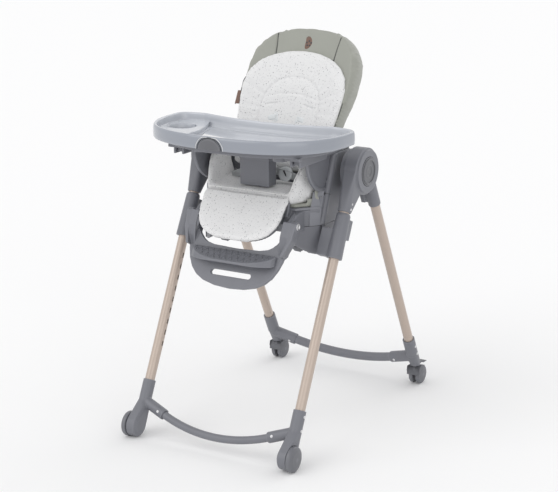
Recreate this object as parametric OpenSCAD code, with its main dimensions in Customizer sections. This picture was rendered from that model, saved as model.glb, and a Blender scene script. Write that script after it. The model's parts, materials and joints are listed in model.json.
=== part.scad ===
// Folding baby high chair: two leg frames hinged at round hubs, a seat unit that slides on the front
// legs, a reclining backrest, a tilting calf rest and footrest, and a sliding tray with a lift-off top.
// Millimetres. +Z is up, the seat faces -Y, the origin is on the floor at the middle of the footprint.

/* [Frame] */
// Distance from the centre plane to the leg tubes
leg_x = 235; // [233:1:238]
// Height of the fold hubs above the floor
hub_z = 714; // [712:1:716]
// Lean of the front legs from vertical
front_lean = 25.9; // [25.5:0.1:26.3]
// Lean of the rear legs from vertical
rear_lean = 27; // [26.5:0.1:27.5]
// Radius of the leg tubes
tube_r = 13.5; // [13:0.1:13.8]

/* [Backrest] */
// Recline of the backrest from vertical
recline = 27; // [24:0.5:29]
// Half width of the padded back at its widest
back_half_w = 176; // [168:1:178]
// Height of the back above the recline pivot, along the back
back_h = 433; // [410:1:440]

/* [Tray] */
// Half width of the tray
tray_half_w = 275; // [270:1:280]
// Front edge of the tray, ahead of the hubs
tray_front = 356; // [352:1:360]
// Height of the tray's rim above the floor
tray_top = 841; // [838:1:844]

/* [Rests] */
// Half width of the calf rest pad
calf_half_w = 127; // [115:1:128]
// Length of the calf rest
calf_len = 137; // [120:1:140]
// Tilt of the calf rest from vertical
calf_tilt = 38.9; // [37:0.1:40]
// Tilt of the footrest from vertical
foot_tilt = 27; // [26:0.5:28]

/* [Hidden] */
$fn = 64;
hull_fn = 32;

// colours
tube_gold = [0.72, 0.62, 0.55];
shell_grey = [0.40, 0.41, 0.43];
dark_grey = [0.24, 0.25, 0.27];
sage = [0.55, 0.57, 0.53];
inlay_white = [0.88, 0.88, 0.87];
tray_blue = [0.62, 0.65, 0.70];
webbing_grey = [0.70, 0.72, 0.73];

// fits
fit_gap = 0.15;      // radial gap round a tube that stays put
slide_gap = 0.3;     // radial gap round a tube that something slides on
pin_gap = 0.05;      // radial gap round a pivot pin

// legs: distances t are measured down each leg from the hub
front_off = 35;      // front leg axis ahead of the hub
rear_off = 30;       // rear leg axis behind the hub
tube_wall = 1.6;
front_t0 = 34;
front_t1 = 700;
rear_t0 = 78;
rear_t1 = 690;
foot_top_t = 653.6;  // mouth of the foot sockets
arm_end_t = 124;     // lower end of the hub arm
notch_pitch = 31;
notch_count = 9;

// hubs
hub_r = 63;
hub_in = -16;        // inner and outer faces of the hub, from the leg plane
hub_out = 27;
button_r = 38.5;
button_travel = 3;
hub_pin_r = 8;
rear_plate_in = -30.5;
rear_plate_out = -18;
rear_plate_r = 56;
rear_socket_t = 138;

// feet, wheels and casters
wheel_r = 34;
wheel_w = 15;
front_wheel_y = -386;
front_wheel_x = leg_x + 14;
axle_r = 4;
caster_r = 28;
caster_y = 369;      // swivel axis
caster_trail = 17;
caster_gap = 5;      // half width of the gap between the twin wheels
caster_wheel_w = 13;
caster_top = 58;     // underside of the rear feet
front_bar_r = 10.5;
rear_bar_r = 13;
bar_mouth_x = 162.5;
front_bar_t = 739;
rear_bar_t = 732;
front_sag = 30;
rear_sag = 23;

// seat unit
base_half_w = 177.5;
panel_in = 178;
panel_out = 186;
seam_z = 582;        // seam between the lower housing and the side panels
fan_in = 167.8;      // inner face of the fan-shaped front of the side panels
pan_z = 632;
arm_top = 776;
arm_front_r = 100;
carriage_t0 = 127;
carriage_t1 = 250;
lever_t0 = 138;      // block behind the carriage that holds the height button
lever_t1 = 192;
recline_y = 5;
recline_z = 648;
recline_pin_r = 6;
calf_y = -176;
calf_z = 650;
calf_pin_r = 4;
foot_y = -212;
foot_z = 597;
foot_pin_r = 5;
cheek_in = 135;
cheek_out = 149.5;
calf_cheek_in = 111;
calf_cheek_out = 121;

// ---------- helpers ----------

// Everything is drawn on the right side (+X); left parts are its mirror image.
module on_side(side) {
    mirror([side < 0 ? 1 : 0, 0, 0]) children();
}

module front_leg_frame() {
    translate([leg_x, 0, hub_z]) rotate([-front_lean, 0, 0]) children();
}

module rear_leg_frame() {
    translate([leg_x, 0, hub_z]) rotate([rear_lean, 0, 0]) children();
}

module x_cylinder(r, x0, x1, y = 0, z = 0) {
    translate([x0, y, z]) rotate([0, 90, 0]) cylinder(r = r, h = x1 - x0);
}

module y_cylinder(r, y0, y1, x = 0, z = 0) {
    translate([x, y1, z]) rotate([90, 0, 0]) cylinder(r = r, h = y1 - y0);
}

module back_frame() {
    translate([0, recline_y, recline_z]) rotate([-recline, 0, 0]) children();
}

module calf_frame() {
    translate([0, calf_y, calf_z]) rotate([-calf_tilt, 0, 0]) children();
}

module foot_frame() {
    translate([0, foot_y, foot_z]) rotate([-foot_tilt, 0, 0]) children();
}

// A profile of [y, z] points, extruded along X from x0 to x1.
module side_prism(points, x0, x1) {
    translate([x0, 0, 0]) rotate([90, 0, 90]) linear_extrude(x1 - x0) polygon(points);
}

// A profile of [x, z] points, extruded along Y from y0 to y1.
module front_prism(points, y0, y1) {
    translate([0, y1, 0]) rotate([90, 0, 0]) linear_extrude(y1 - y0) polygon(points);
}

// One point of a superellipse with half axes a and b and exponent n.
function super_point(a, b, n, ang) = [
    a * sign(cos(ang)) * pow(abs(cos(ang)), 2 / n),
    b * sign(sin(ang)) * pow(abs(sin(ang)), 2 / n)
];

function arc_points(cy, cz, r, a0, a1, steps) = [
    for (i = [0 : steps]) [cy + r * cos(a0 + (a1 - a0) * i / steps), cz + r * sin(a0 + (a1 - a0) * i / steps)]
];

// ---------- leg frames ----------

module leg_tube(t0, t1) {
    translate([0, 0, -t1]) difference() {
        cylinder(r = tube_r, h = t1 - t0);
        translate([0, 0, -1]) cylinder(r = tube_r - tube_wall, h = t1 - t0 + 2);
    }
}

module front_leg_tube(side) {
    color(tube_gold) on_side(side) front_leg_frame() translate([0, -front_off, 0]) difference() {
        leg_tube(front_t0, front_t1);
        for (i = [0 : notch_count - 1])
            translate([-tube_r - 2, -2.5, -carriage_t1 - 60 - i * notch_pitch]) cube([5, 5, 14]);
    }
}

module rear_leg_tube(side) {
    color(tube_gold) on_side(side) rear_leg_frame() translate([0, rear_off, 0]) leg_tube(rear_t0, rear_t1);
}

// A bar bowed down the leg plane between the two feet, as a piece of a ring.
module bowed_bar(r, sag, mouth_t, into) {
    half = bar_mouth_x + into;
    ring_r = (bar_mouth_x * bar_mouth_x + sag * sag) / (2 * sag);
    half_ang = asin(half / ring_r);
    translate([-leg_x, 0, -mouth_t - sag + ring_r]) rotate([-90, 0, 0]) rotate([0, 0, 90 - half_ang])
        rotate_extrude(angle = 2 * half_ang, $fn = 360) translate([ring_r, 0]) difference() {
            circle(r = r, $fn = 64);
            circle(r = r - tube_wall, $fn = 64);
        }
}

module front_crossbar() {
    color(shell_grey) front_leg_frame() translate([0, -front_off, 0])
        bowed_bar(front_bar_r, front_sag, front_bar_t, 12);
}

module rear_crossbar() {
    color(shell_grey) rear_leg_frame() translate([0, rear_off, 0])
        bowed_bar(rear_bar_r, rear_sag, rear_bar_t, 12);
}

// Socket that reaches in from the leg to a crossbar, in the leg plane; outer shape or bore.
module bar_socket(r, mouth_t, sag, deep) {
    ring_r = (bar_mouth_x * bar_mouth_x + sag * sag) / (2 * sag);
    slope = asin(bar_mouth_x / ring_r);
    translate([bar_mouth_x - leg_x, 0, -mouth_t]) rotate([0, 90 - slope, 0]) cylinder(r = r, h = deep);
}

module front_foot(side) {
    color(shell_grey) on_side(side) difference() {
        union() {
            front_leg_frame() translate([0, -front_off, -front_t1 - 50])
                cylinder(r = tube_r + 3.5, h = front_t1 + 50 - foot_top_t);
            hull() {
                front_leg_frame() translate([0, -front_off, -front_t1 - 30])
                    cylinder(r = tube_r + 3.3, h = 20, $fn = hull_fn);
                translate([leg_x - 11, front_wheel_y, wheel_r]) rotate([0, 90, 0])
                    cylinder(r = 31, h = 23, $fn = hull_fn);
                translate([leg_x - 17, front_wheel_y, wheel_r]) rotate([0, 90, 0])
                    cylinder(r = 22, h = 20, $fn = hull_fn);
            }
            front_leg_frame() translate([0, -front_off, 0])
                bar_socket(front_bar_r + 4.5, front_bar_t, front_sag, 72);
        }
        front_leg_frame() translate([0, -front_off, -front_t1 - 0.5])
            cylinder(r = tube_r + fit_gap, h = front_t1 + 1);
        front_leg_frame() translate([0, -front_off, 0])
            bar_socket(front_bar_r + 0.5, front_bar_t, front_sag, 20);
        x_cylinder(axle_r + pin_gap, leg_x - 4, leg_x + 20, front_wheel_y, wheel_r);
        x_cylinder(wheel_r + 1.5, front_wheel_x - 0.8, front_wheel_x + 20, front_wheel_y, wheel_r);
    }
}

module front_axles() {
    color("silver") for (side = [-1, 1]) on_side(side) union() {
        x_cylinder(axle_r, leg_x - 3.5, front_wheel_x + 10, front_wheel_y, wheel_r);
    }
}

module front_wheel(side) {
    color(dark_grey) on_side(side) difference() {
        translate([front_wheel_x, front_wheel_y, wheel_r]) rotate([0, 90, 0]) rotate_extrude()
            polygon([
                [0, 0], [wheel_r - 5, 0], [wheel_r - 1, 1], [wheel_r, 3], [wheel_r, wheel_w - 6],
                [wheel_r - 1.5, wheel_w - 3], [wheel_r - 5, wheel_w - 1], [wheel_r * 0.6, wheel_w + 1],
                [0, wheel_w + 2]
            ]);
        x_cylinder(axle_r + pin_gap, front_wheel_x - 1, front_wheel_x + 10.5, front_wheel_y, wheel_r);
    }
}

module rear_foot(side) {
    color(shell_grey) on_side(side) difference() {
        union() {
            rear_leg_frame() translate([0, rear_off, -rear_t1 - 15])
                cylinder(r = tube_r + 4, h = rear_t1 + 15 - foot_top_t + 10);
            hull() {
                rear_leg_frame() translate([0, rear_off, -rear_t1])
                    cylinder(r = tube_r + 3.8, h = 8, $fn = hull_fn);
                translate([leg_x, caster_y, caster_top]) cylinder(r = 14.5, h = 14, $fn = hull_fn);
            }
            rear_leg_frame() translate([0, rear_off, 0])
                bar_socket(rear_bar_r + 3.5, rear_bar_t, rear_sag, 72);
        }
        rear_leg_frame() translate([0, rear_off, -rear_t1 - 0.5])
            cylinder(r = tube_r + fit_gap, h = rear_t1 + 1);
        rear_leg_frame() translate([0, rear_off, 0])
            bar_socket(rear_bar_r + 0.5, rear_bar_t, rear_sag, 20);
        translate([leg_x, caster_y, caster_top - 5]) cylinder(r = 5 + pin_gap, h = 29);
    }
}

// ---------- casters ----------

brake_y = 392;
brake_z = 61.5;

// Swivelling body: stem, web between the wheels, a hood over them and an ear for the brake lever.
module caster_body(side) {
    wheel_y = caster_y + caster_trail;
    hood_side = [
        [wheel_y - 30, caster_top - 0.8], [wheel_y + 8, caster_top - 0.8], [wheel_y - 17, 31], [wheel_y - 29, 31],
        [wheel_y - 33, 44]
    ];
    color(dark_grey) on_side(side) difference() {
        union() {
            translate([leg_x, caster_y, caster_top - 2]) cylinder(r = 14, h = 1.6);
            translate([leg_x, caster_y, caster_top - 3]) cylinder(r = 5, h = 26);
            hull() {
                translate([leg_x - caster_gap + 1, caster_y, caster_top - 12]) rotate([0, 90, 0])
                    cylinder(r = 11, h = 2 * caster_gap - 2, $fn = hull_fn);
                translate([leg_x - caster_gap + 1, wheel_y, caster_r]) rotate([0, 90, 0])
                    cylinder(r = 12, h = 2 * caster_gap - 2, $fn = hull_fn);
            }
            intersection() {
                difference() {
                    x_cylinder(caster_r + 4.5, leg_x - 21, leg_x + 21, wheel_y, caster_r);
                    x_cylinder(caster_r + 1.5, leg_x - 22, leg_x + 22, wheel_y, caster_r);
                }
                translate([leg_x - 30, caster_y - 40, 31]) cube([60, 62, caster_top - 31.8]);
            }
            for (s = [-1, 1]) translate([leg_x + s * 20.2, 0, 0]) side_prism(hood_side, -0.8, 0.8);
            translate([leg_x - 4, brake_y - 5, 40]) cube([8, 10, brake_z - 40]);
            x_cylinder(5, leg_x - 4, leg_x + 4, brake_y, brake_z);
        }
        x_cylinder(axle_r + pin_gap, leg_x - 6, leg_x + 6, wheel_y, caster_r);
        x_cylinder(3 + pin_gap, leg_x - 6, leg_x + 6, brake_y, brake_z);
    }
}

module caster_wheels(side) {
    wheel_y = caster_y + caster_trail;
    color(dark_grey) on_side(side) union() {
        for (s = [-1, 1])
            translate([leg_x, wheel_y, caster_r]) rotate([0, s * 90, 0]) translate([0, 0, caster_gap])
                rotate_extrude() polygon([
                    [0, 0], [caster_r - 2, 0], [caster_r, 2], [caster_r, caster_wheel_w - 4],
                    [caster_r - 3, caster_wheel_w - 1], [caster_r * 0.6, caster_wheel_w],
                    [0, caster_wheel_w + 1]
                ]);
        x_cylinder(axle_r, leg_x - caster_gap - 3, leg_x + caster_gap + 3, wheel_y, caster_r);
    }
}

module caster_brake(side) {
    color(dark_grey) on_side(side) union() {
        x_cylinder(3, leg_x - 8, leg_x + 8, brake_y, brake_z);
        for (s = [-1, 1]) translate([leg_x + s * 6.2, 0, 0])
            side_prism([[brake_y - 4, 58.2], [brake_y + 9, 58.8], [brake_y + 9, 63], [brake_y - 2, 64.5]], -1.8, 1.8);
        translate([leg_x - 14, brake_y + 7, 59]) cube([28, 420 - brake_y - 7, 3]);
    }
}

// ---------- hubs ----------

module hub_arm(side) {
    color(shell_grey) on_side(side) front_leg_frame() difference() {
        union() {
            x_cylinder(hub_r, hub_in, hub_out - 6);
            x_cylinder(hub_r - 5, hub_in, hub_out);
            hull() {
                translate([0, -front_off, -arm_end_t]) cylinder(r = tube_r + 4.5, h = 8, $fn = hull_fn);
                translate([hub_in, -21, 0]) rotate([0, 90, 0]) cylinder(r = 41, h = 37, $fn = hull_fn);
            }
        }
        translate([0, -front_off, -arm_end_t - 1]) cylinder(r = tube_r + fit_gap, h = arm_end_t - 28);
        x_cylinder(button_r + 0.5, hub_out - 11, hub_out + 1);
        x_cylinder(hub_pin_r + pin_gap, hub_in - 1, hub_out - 14);
    }
}

module hub_pins() {
    color("silver") for (side = [-1, 1]) on_side(side)
        x_cylinder(hub_pin_r, leg_x + rear_plate_in + 0.5, leg_x + hub_out - 15, 0, hub_z);
}

module fold_button(side) {
    color(dark_grey) on_side(side) difference() {
        union() {
            x_cylinder(button_r, leg_x + hub_out - 7, leg_x + hub_out + 1, 0, hub_z);
            x_cylinder(button_r - 4, leg_x + hub_out, leg_x + hub_out + 2.5, 0, hub_z);
        }
        x_cylinder(button_r - 9, leg_x + hub_out + 1.2, leg_x + hub_out + 4, 0, hub_z);
    }
}

module rear_leg_socket(side) {
    color(shell_grey) on_side(side) rear_leg_frame() difference() {
        union() {
            x_cylinder(rear_plate_r, rear_plate_in, rear_plate_out);
            translate([rear_plate_in, rear_off - 16, -125]) cube([rear_plate_out - rear_plate_in, 32, 110]);
            translate([rear_plate_in + 1, rear_off - 14, -124]) cube([30, 28, 52]);
            translate([0, rear_off, -rear_socket_t]) cylinder(r = tube_r + 3.3, h = rear_socket_t - 70);
        }
        translate([0, rear_off, -rear_socket_t - 1]) cylinder(r = tube_r + fit_gap, h = rear_socket_t - 74);
        x_cylinder(hub_pin_r + pin_gap, rear_plate_in - 1, rear_plate_out + 1);
    }
}

// ---------- seat unit ----------

module carriage(side) {
    web_in = panel_out + 1 - leg_x;
    color(shell_grey) on_side(side) front_leg_frame() translate([0, -front_off, 0]) difference() {
        union() {
            translate([0, 0, -carriage_t1])
                cylinder(r1 = tube_r + 8, r2 = tube_r + 5.5, h = carriage_t1 - carriage_t0 - 6);
            translate([0, 0, -carriage_t0 - 6]) cylinder(r1 = tube_r + 5.5, r2 = tube_r + 2.5, h = 6);
            translate([web_in, -14, -carriage_t1 + 4]) cube([-web_in, 28, 74]);
            translate([-12, 10, -lever_t1]) cube([24, 28, lever_t1 - lever_t0]);
        }
        translate([0, 0, -carriage_t1 - 1]) cylinder(r = tube_r + slide_gap, h = carriage_t1 - carriage_t0 + 2);
        translate([-10, 32, -lever_t1 + 9]) cube([20, 10, 36]);
    }
}

module height_button(side) {
    color(dark_grey) on_side(side) front_leg_frame() translate([0, -front_off, 0])
        translate([-9, 36.2, -lever_t1 + 10]) cube([18, 7, 34]);
}

// Outline of the seat seen from above, d inside its edge: the front corners are cut back.
function seat_plan(d) = [
    [-116 + d * 0.6, -195 + d], [116 - d * 0.6, -195 + d], [150 - d, -146 + d * 0.6],
    [base_half_w - d, -112 + d * 0.6], [base_half_w - d, 40], [-base_half_w + d, 40],
    [-base_half_w + d, -112 + d * 0.6], [-150 + d, -146 + d * 0.6]
];

module in_plan(d) {
    intersection() {
        children();
        translate([0, 0, 480]) linear_extrude(280) polygon(seat_plan(d));
    }
}

// Lower housing of the seat, a shell that is open underneath: deep lobes at the sides, a shallow middle, and
// cheeks for the two front pivots.
middle_profile = [
    [-166, 620], [-166, 625.5], [28, 625.5], [34, 600], [34, 562], [-20, 540], [-110, 540], [-172, 566],
    [-190, 592], [-182, 610]
];
middle_hollow = [
    [-160, 610], [-158, 620], [24, 620], [28, 598], [28, 550], [-20, 530], [-110, 530], [-166, 556],
    [-183, 592], [-176, 606]
];
lobe_profile = [
    [-166, 620], [-166, 625.5], [28, 625.5], [34, 600], [34, 530], [-8, 506], [-30, 500], [-106, 498], [-134, 508],
    [-158, 526], [-176, 549], [-187, 576], [-187, 594], [-182, 610]
];
lobe_hollow = [
    [-160, 610], [-158, 620], [24, 620], [28, 598], [28, 520], [-8, 494], [-30, 490], [-106, 490], [-130, 500],
    [-153, 520], [-170, 545], [-181, 577], [-181, 594], [-176, 606]
];
lobe_in = 112;

module seat_base() {
    color(shell_grey) difference() {
        union() {
            difference() {
                in_plan(0) union() {
                    side_prism(middle_profile, -lobe_in - 2, lobe_in + 2);
                    for (side = [-1, 1]) on_side(side) side_prism(lobe_profile, lobe_in, base_half_w);
                }
                in_plan(4) union() {
                    side_prism(middle_hollow, -lobe_in - 2, lobe_in + 2);
                    for (side = [-1, 1]) on_side(side) side_prism(lobe_hollow, lobe_in + 4, base_half_w);
                }
            }
            for (side = [-1, 1]) on_side(side) union() {
                x_cylinder(9, cheek_in, cheek_out, foot_y, foot_z);
                side_prism(
                    [[-215, 588.5], [-206, 584], [-150, 572], [-130, 590], [-130, 622], [-150, 625], [-185, 621],
                     [-212, 606]],
                    cheek_in, cheek_out
                );
                x_cylinder(6.2, calf_cheek_in, calf_cheek_out, calf_y, calf_z);
                side_prism(
                    [[-188, 612], [-150, 602], [-150, 622], [-168.5, 623], [-169.8, 650], [-176, 650], [-178.5, 642],
                     [-182, 630]],
                    calf_cheek_in, calf_cheek_out
                );
            }
        }
        for (side = [-1, 1]) on_side(side) union() {
            x_cylinder(foot_pin_r + pin_gap, cheek_in - 1, cheek_out + 1, foot_y, foot_z);
            x_cylinder(calf_pin_r + pin_gap, calf_cheek_in - 1, calf_cheek_out + 1, calf_y, calf_z);
        }
    }
}

// Upper tub of the seat: a floor, two side walls and a low rear wall, with a bore for each recline pin.
module seat_bucket() {
    color(shell_grey) difference() {
        in_plan(0) union() {
            translate([-base_half_w, -168, 626]) cube([2 * base_half_w, 208, 6]);
            for (side = [-1, 1]) on_side(side) union() {
                translate([base_half_w - 4, -108, 626]) cube([4, 148, 32]);
                translate([base_half_w - 4, -76, 650]) cube([4, 116, 44]);
            }
            translate([-base_half_w, 36, 626]) cube([2 * base_half_w, 4, 38]);
        }
        for (side = [-1, 1]) on_side(side)
            x_cylinder(recline_pin_r + pin_gap, base_half_w - 6, base_half_w + 2, recline_y, recline_z);
    }
}

module side_cover(side) {
    outer = [[-106, seam_z - 0.5], [-106, 500], [-30, 501], [-8, 506], [36, 530], [36, seam_z - 0.5]];
    inner = [[-100, seam_z - 6], [-100, 508], [-32, 509], [-10, 514], [28, 535], [28, seam_z - 6]];
    color(shell_grey) on_side(side) difference() {
        side_prism(outer, panel_in, panel_out);
        side_prism(inner, panel_in - 1, panel_out - 4);
    }
}

fan_y = -80;
fan_z = 765;
fan_r = 99;
rib_r = 9;
rib_tilt = 20;

// Side panel from the housing seam up to the armrest: a flank behind a half-round rib, and a quarter-round
// fan with a thick rim in front.
module side_panel(side) {
    z_top = arm_top - 12.5;
    rib_top_y = -104 + (z_top - seam_z) * tan(rib_tilt);
    fan_back = [[fan_y + 20, fan_z - fan_r], [rib_top_y, z_top]];
    color(shell_grey) on_side(side) difference() {
        union() {
            side_prism([[36, seam_z], [36, z_top], [rib_top_y, z_top], [-104, seam_z]], panel_in, panel_out);
            intersection() {
                translate([panel_in, -104, seam_z]) rotate([-rib_tilt, 0, 0]) translate([0, 0, -20])
                    cylinder(r = rib_r, h = 240);
                union() {
                    translate([panel_in, -180, seam_z]) cube([20, 300, z_top - seam_z]);
                    translate([panel_in - 20, -180, 698]) cube([40, 300, z_top - 698]);
                }
            }
            side_prism(concat(arc_points(fan_y, fan_z, fan_r, 180.8, 270, 12), fan_back), fan_in, fan_in + 4.4);
            side_prism(
                concat(arc_points(fan_y, fan_z, fan_r, 180.8, 270, 12),
                       arc_points(fan_y, fan_z, fan_r - 10, 270, 180.8, 12)),
                fan_in, fan_in + 9
            );
        }
        difference() {
            side_prism(
                [[30, seam_z + 6], [30, z_top - 6], [rib_top_y + 14, z_top - 6], [-86, seam_z + 6]],
                panel_in - 1, panel_out - 4
            );
            x_cylinder(12, panel_in - 2, panel_out, recline_y, recline_z);
        }
        x_cylinder(recline_pin_r + pin_gap, panel_in - 1, panel_in + 8, recline_y, recline_z);
    }
}

module armrest(side) {
    top = arm_top - 12;
    color(shell_grey) on_side(side) union() {
        translate([fan_in, -236, top]) cube([panel_out - fan_in, 192, 12]);
        translate([panel_in, -60, top]) cube([panel_out - panel_in, 92, 12]);
    }
}

cover_half_w = 167;

module seat_cover() {
    color(sage) difference() {
        in_plan(5) union() {
            translate([-cover_half_w, -164, 632.2]) cube([2 * cover_half_w, 178, 7.8]);
            for (side = [-1, 1]) on_side(side) translate([cover_half_w - 5, -164, 634]) cube([5, 110, 56]);
            for (side = [-1, 1]) on_side(side) translate([0, 0, 634]) linear_extrude(22)
                polygon([[150, -132], [150, -150], [175, -115], [171, -100], [166, -112]]);
        }
        for (side = [-1, 1]) on_side(side)
            x_cylinder(recline_pin_r + 1.5, 155, 200, recline_y, recline_z);
        translate([-172, -15, 630]) cube([344, 60, 20]);
    }
}

module seat_inlay() {
    color(inlay_white) in_plan(18) union() {
        translate([-146, -164, 640.3]) cube([292, 118, 27.7]);
        for (side = [-1, 1]) on_side(side) side_prism(
            [[-160, 640.3], [-66, 640.3], [-66, 738], [-100, 740], [-128, 728], [-150, 700], [-160, 668]],
            142, 160
        );
    }
}

module seat_pins() {
    color("silver") for (side = [-1, 1]) on_side(side)
        x_cylinder(recline_pin_r, 158, panel_in + 7, recline_y, recline_z);
}

buckle_y = -74;
buckle_z = 706;

module crotch_strap() {
    color(webbing_grey) translate([-14, -71, 668.4]) cube([28, 2.4, 22]);
}

module buckle() {
    color(webbing_grey) translate([0, buckle_y, buckle_z]) rotate([-20, 0, 0]) difference() {
        y_cylinder(23, -7, 7);
        y_cylinder(9, -8, -2);
    }
}

module buckle_button() {
    color(dark_grey) translate([0, buckle_y, buckle_z]) rotate([-20, 0, 0]) y_cylinder(8.6, -7.6, -4.2);
}

// ---------- backrest ----------

// Outline of the back: a wide arch above, tapering to a narrower foot.
function back_outline(half_w, top, mid, foot_w, foot_v) = concat(
    [for (i = [0 : 16]) let (p = super_point(half_w, top - mid, 3.2, 180 * i / 16)) [p[0], mid + p[1]]],
    [[-half_w * 0.985, mid - 60], [-(half_w * 0.45 + foot_w * 0.55), foot_v + 50], [-foot_w + 6, foot_v + 10],
     [-foot_w + 20, foot_v], [foot_w - 20, foot_v], [foot_w - 6, foot_v + 10],
     [half_w * 0.45 + foot_w * 0.55, foot_v + 50], [half_w * 0.985, mid - 60]]
);

wing_depth = 21;     // how far the back curves forward at its sides
wing_at = 159;

function dish(x, front) = front - wing_depth * pow(x / wing_at, 2);

// A dished slab: its front face is front at the middle and curves forward at the sides.
module back_slab(half_w, top, mid, foot_w, foot_v, front, thick) {
    xs = [for (i = [-7 : 7]) i * (half_w + 4) / 7];
    profile = concat(
        [for (x = xs) [x, dish(x, front)]],
        [for (i = [len(xs) - 1 : -1 : 0]) [xs[i], dish(xs[i], front) + thick]]
    );
    intersection() {
        translate([0, 0, foot_v - 5]) linear_extrude(top - foot_v + 10) polygon(profile);
        translate([0, 10, 0]) rotate([90, 0, 0]) linear_extrude(140)
            polygon(back_outline(half_w, top, mid, foot_w, foot_v));
    }
}

module back_shell() {
    color(shell_grey) back_frame() difference() {
        union() {
            back_slab(back_half_w - 8, back_h - 8, 245, 150, 14, -26, 12);
            for (side = [-1, 1]) on_side(side) side_prism(
                [[-10, -10], [10, -10], [12, 0], [6, 34], [-34, 84], [-42, 84], [-42, 30], [-12, 0]], 148, 166
            );
        }
        x_cylinder(recline_pin_r + pin_gap, -180, 180);
        translate([-47, -60, 296]) cube([94, 60, 44]);
    }
}

module back_cover() {
    color(sage) back_frame() back_slab(back_half_w, back_h, 245, 150, 36, -44, 16.5);
}

module back_inlay() {
    color(inlay_white) back_frame() back_slab(160, 364, 235, 138, 44, -60, 15.5);
}

strap_lean = 15;

module strap_frame(side) {
    on_side(side) back_frame() translate([57, -66.5, 221]) rotate([0, strap_lean, 0]) children();
}

module shoulder_straps() {
    color(webbing_grey) for (side = [-1, 1]) strap_frame(side)
        translate([-14, -1, -135]) cube([28, 2, 135]);
}

module strap_adjuster(side) {
    color(webbing_grey) strap_frame(side) difference() {
        translate([-16.5, -6, -54]) cube([33, 8.2, 26]);
        translate([-14.6, -1.4, -55]) cube([29.2, 2.8, 28]);
    }
}

module recline_lever() {
    color(dark_grey) back_frame() union() {
        x_cylinder(4, -44, 44, -20, 332);
        translate([-42, -22, 302]) cube([84, 6, 30]);
    }
}

// ---------- calf rest and footrest ----------

// Outline of the calf rest: square at the hinge, round at the lower corners.
function calf_outline(half_w, top, bottom) = concat(
    [[half_w - 3, top], [half_w, top - 14], [half_w, top - 45]],
    [for (i = [1 : 10]) let (p = super_point(half_w, bottom - 45 + top, 2.6, -90 * i / 10)) [p[0], top - 45 + p[1]]],
    [for (i = [9 : -1 : 1]) let (p = super_point(half_w, bottom - 45 + top, 2.6, -90 * i / 10)) [-p[0], top - 45 + p[1]]],
    [[-half_w, top - 45], [-half_w, top - 14], [-half_w + 3, top]]
);

module calf_board() {
    color(dark_grey) calf_frame() difference() {
        union() {
            translate([0, 1, 0]) rotate([90, 0, 0]) linear_extrude(7)
                polygon(calf_outline(calf_half_w - 7, -3, calf_len - 8));
            x_cylinder(6, -calf_cheek_in + 0.6, calf_cheek_in - 0.6);
            x_cylinder(calf_pin_r, -calf_cheek_out + 0.5, calf_cheek_out - 0.5);
        }
        for (side = [-1, 1]) on_side(side) difference() {
            translate([calf_cheek_in - 0.6, -8, -16]) cube([calf_cheek_out - calf_cheek_in + 1.2, 12, 18]);
            x_cylinder(calf_pin_r, 100, calf_cheek_out - 0.5);
        }
    }
}

module calf_pad() {
    color(inlay_white) calf_frame() translate([0, -6.4, 0]) rotate([90, 0, 0]) linear_extrude(9.4)
        polygon(calf_outline(calf_half_w, -1, calf_len));
}

foot_arm_in = 150.2;
foot_arm_out = 168;
foot_plate_back = 16;

// Right half of the footrest plate's outline, as [x, v] with v up from the pivot: a deep U.
foot_half = [
    [0, -186], [45, -183], [80, -174.5], [104, -161.5], [122, -143.5], [135, -120], [143, -95], [148.5, -64], [150.5, -40],
    [126, -40], [117, -52], [106, -63], [94, -70], [70, -75.5], [0, -78]
];
foot_outline = concat(foot_half, [for (i = [len(foot_half) - 2 : -1 : 1]) [-foot_half[i][0], foot_half[i][1]]]);
slot_v = -147.5;

module footrest() {
    color(shell_grey) foot_frame() difference() {
        union() {
            translate([0, foot_plate_back, 0]) rotate([90, 0, 0]) linear_extrude(12)
                polygon(foot_outline);
            for (side = [-1, 1]) on_side(side) union() {
                x_cylinder(13, foot_arm_in, foot_arm_out);
                // outer arm beside the cheek
                front_prism([[foot_arm_in, 6], [foot_arm_out - 1, 4], [foot_arm_out - 4, -40], [148, -86], [140, -86],
                             [foot_arm_in, -50]], -13, foot_plate_back);
                // inner arm that wraps round the front of the cheek
                side_prism([[-14, 6], [-10, 8], [-10, -30], [4, -40], [foot_plate_back, -48], [foot_plate_back, -80],
                            [4, -80], [-7, -60], [-14, -34]], 129, foot_arm_in + 2);
                x_cylinder(foot_pin_r, cheek_in + 1, foot_arm_in + 1);
            }
        }
        hull() for (x = [-54, 54])
            translate([x, 30, slot_v]) rotate([90, 0, 0]) cylinder(r = 7.5, h = 40, $fn = hull_fn);
    }
}

// Ribbed step on the front of the footrest: a wedge that slopes down to its front edge, round in plan.
tread_half_w = 126;
tread_deep = 38;

module footrest_tread() {
    wedge = [[3.6, -86], [-3, -86], [-tread_deep, -122], [-tread_deep, -127], [-tread_deep + 5, -128], [3.6, -112]];
    crescent = concat(
        [[-tread_half_w, 4]],
        [for (i = [0 : 12]) let (a = 180 + 15 * i) [tread_half_w * cos(a), -2 + (tread_deep + 1) * sin(a)]],
        [[tread_half_w, 4]]
    );
    color(dark_grey) foot_frame() intersection() {
        side_prism(wedge, -tread_half_w, tread_half_w);
        translate([0, 0, -140]) linear_extrude(70) polygon(crescent);
    }
}

// ---------- tray ----------

tray_mid = -137;
tray_back = -69;
tray_hollow = 36;    // how far the back edge curves in towards the front at the middle
tray_hollow_at = 198;

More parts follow.
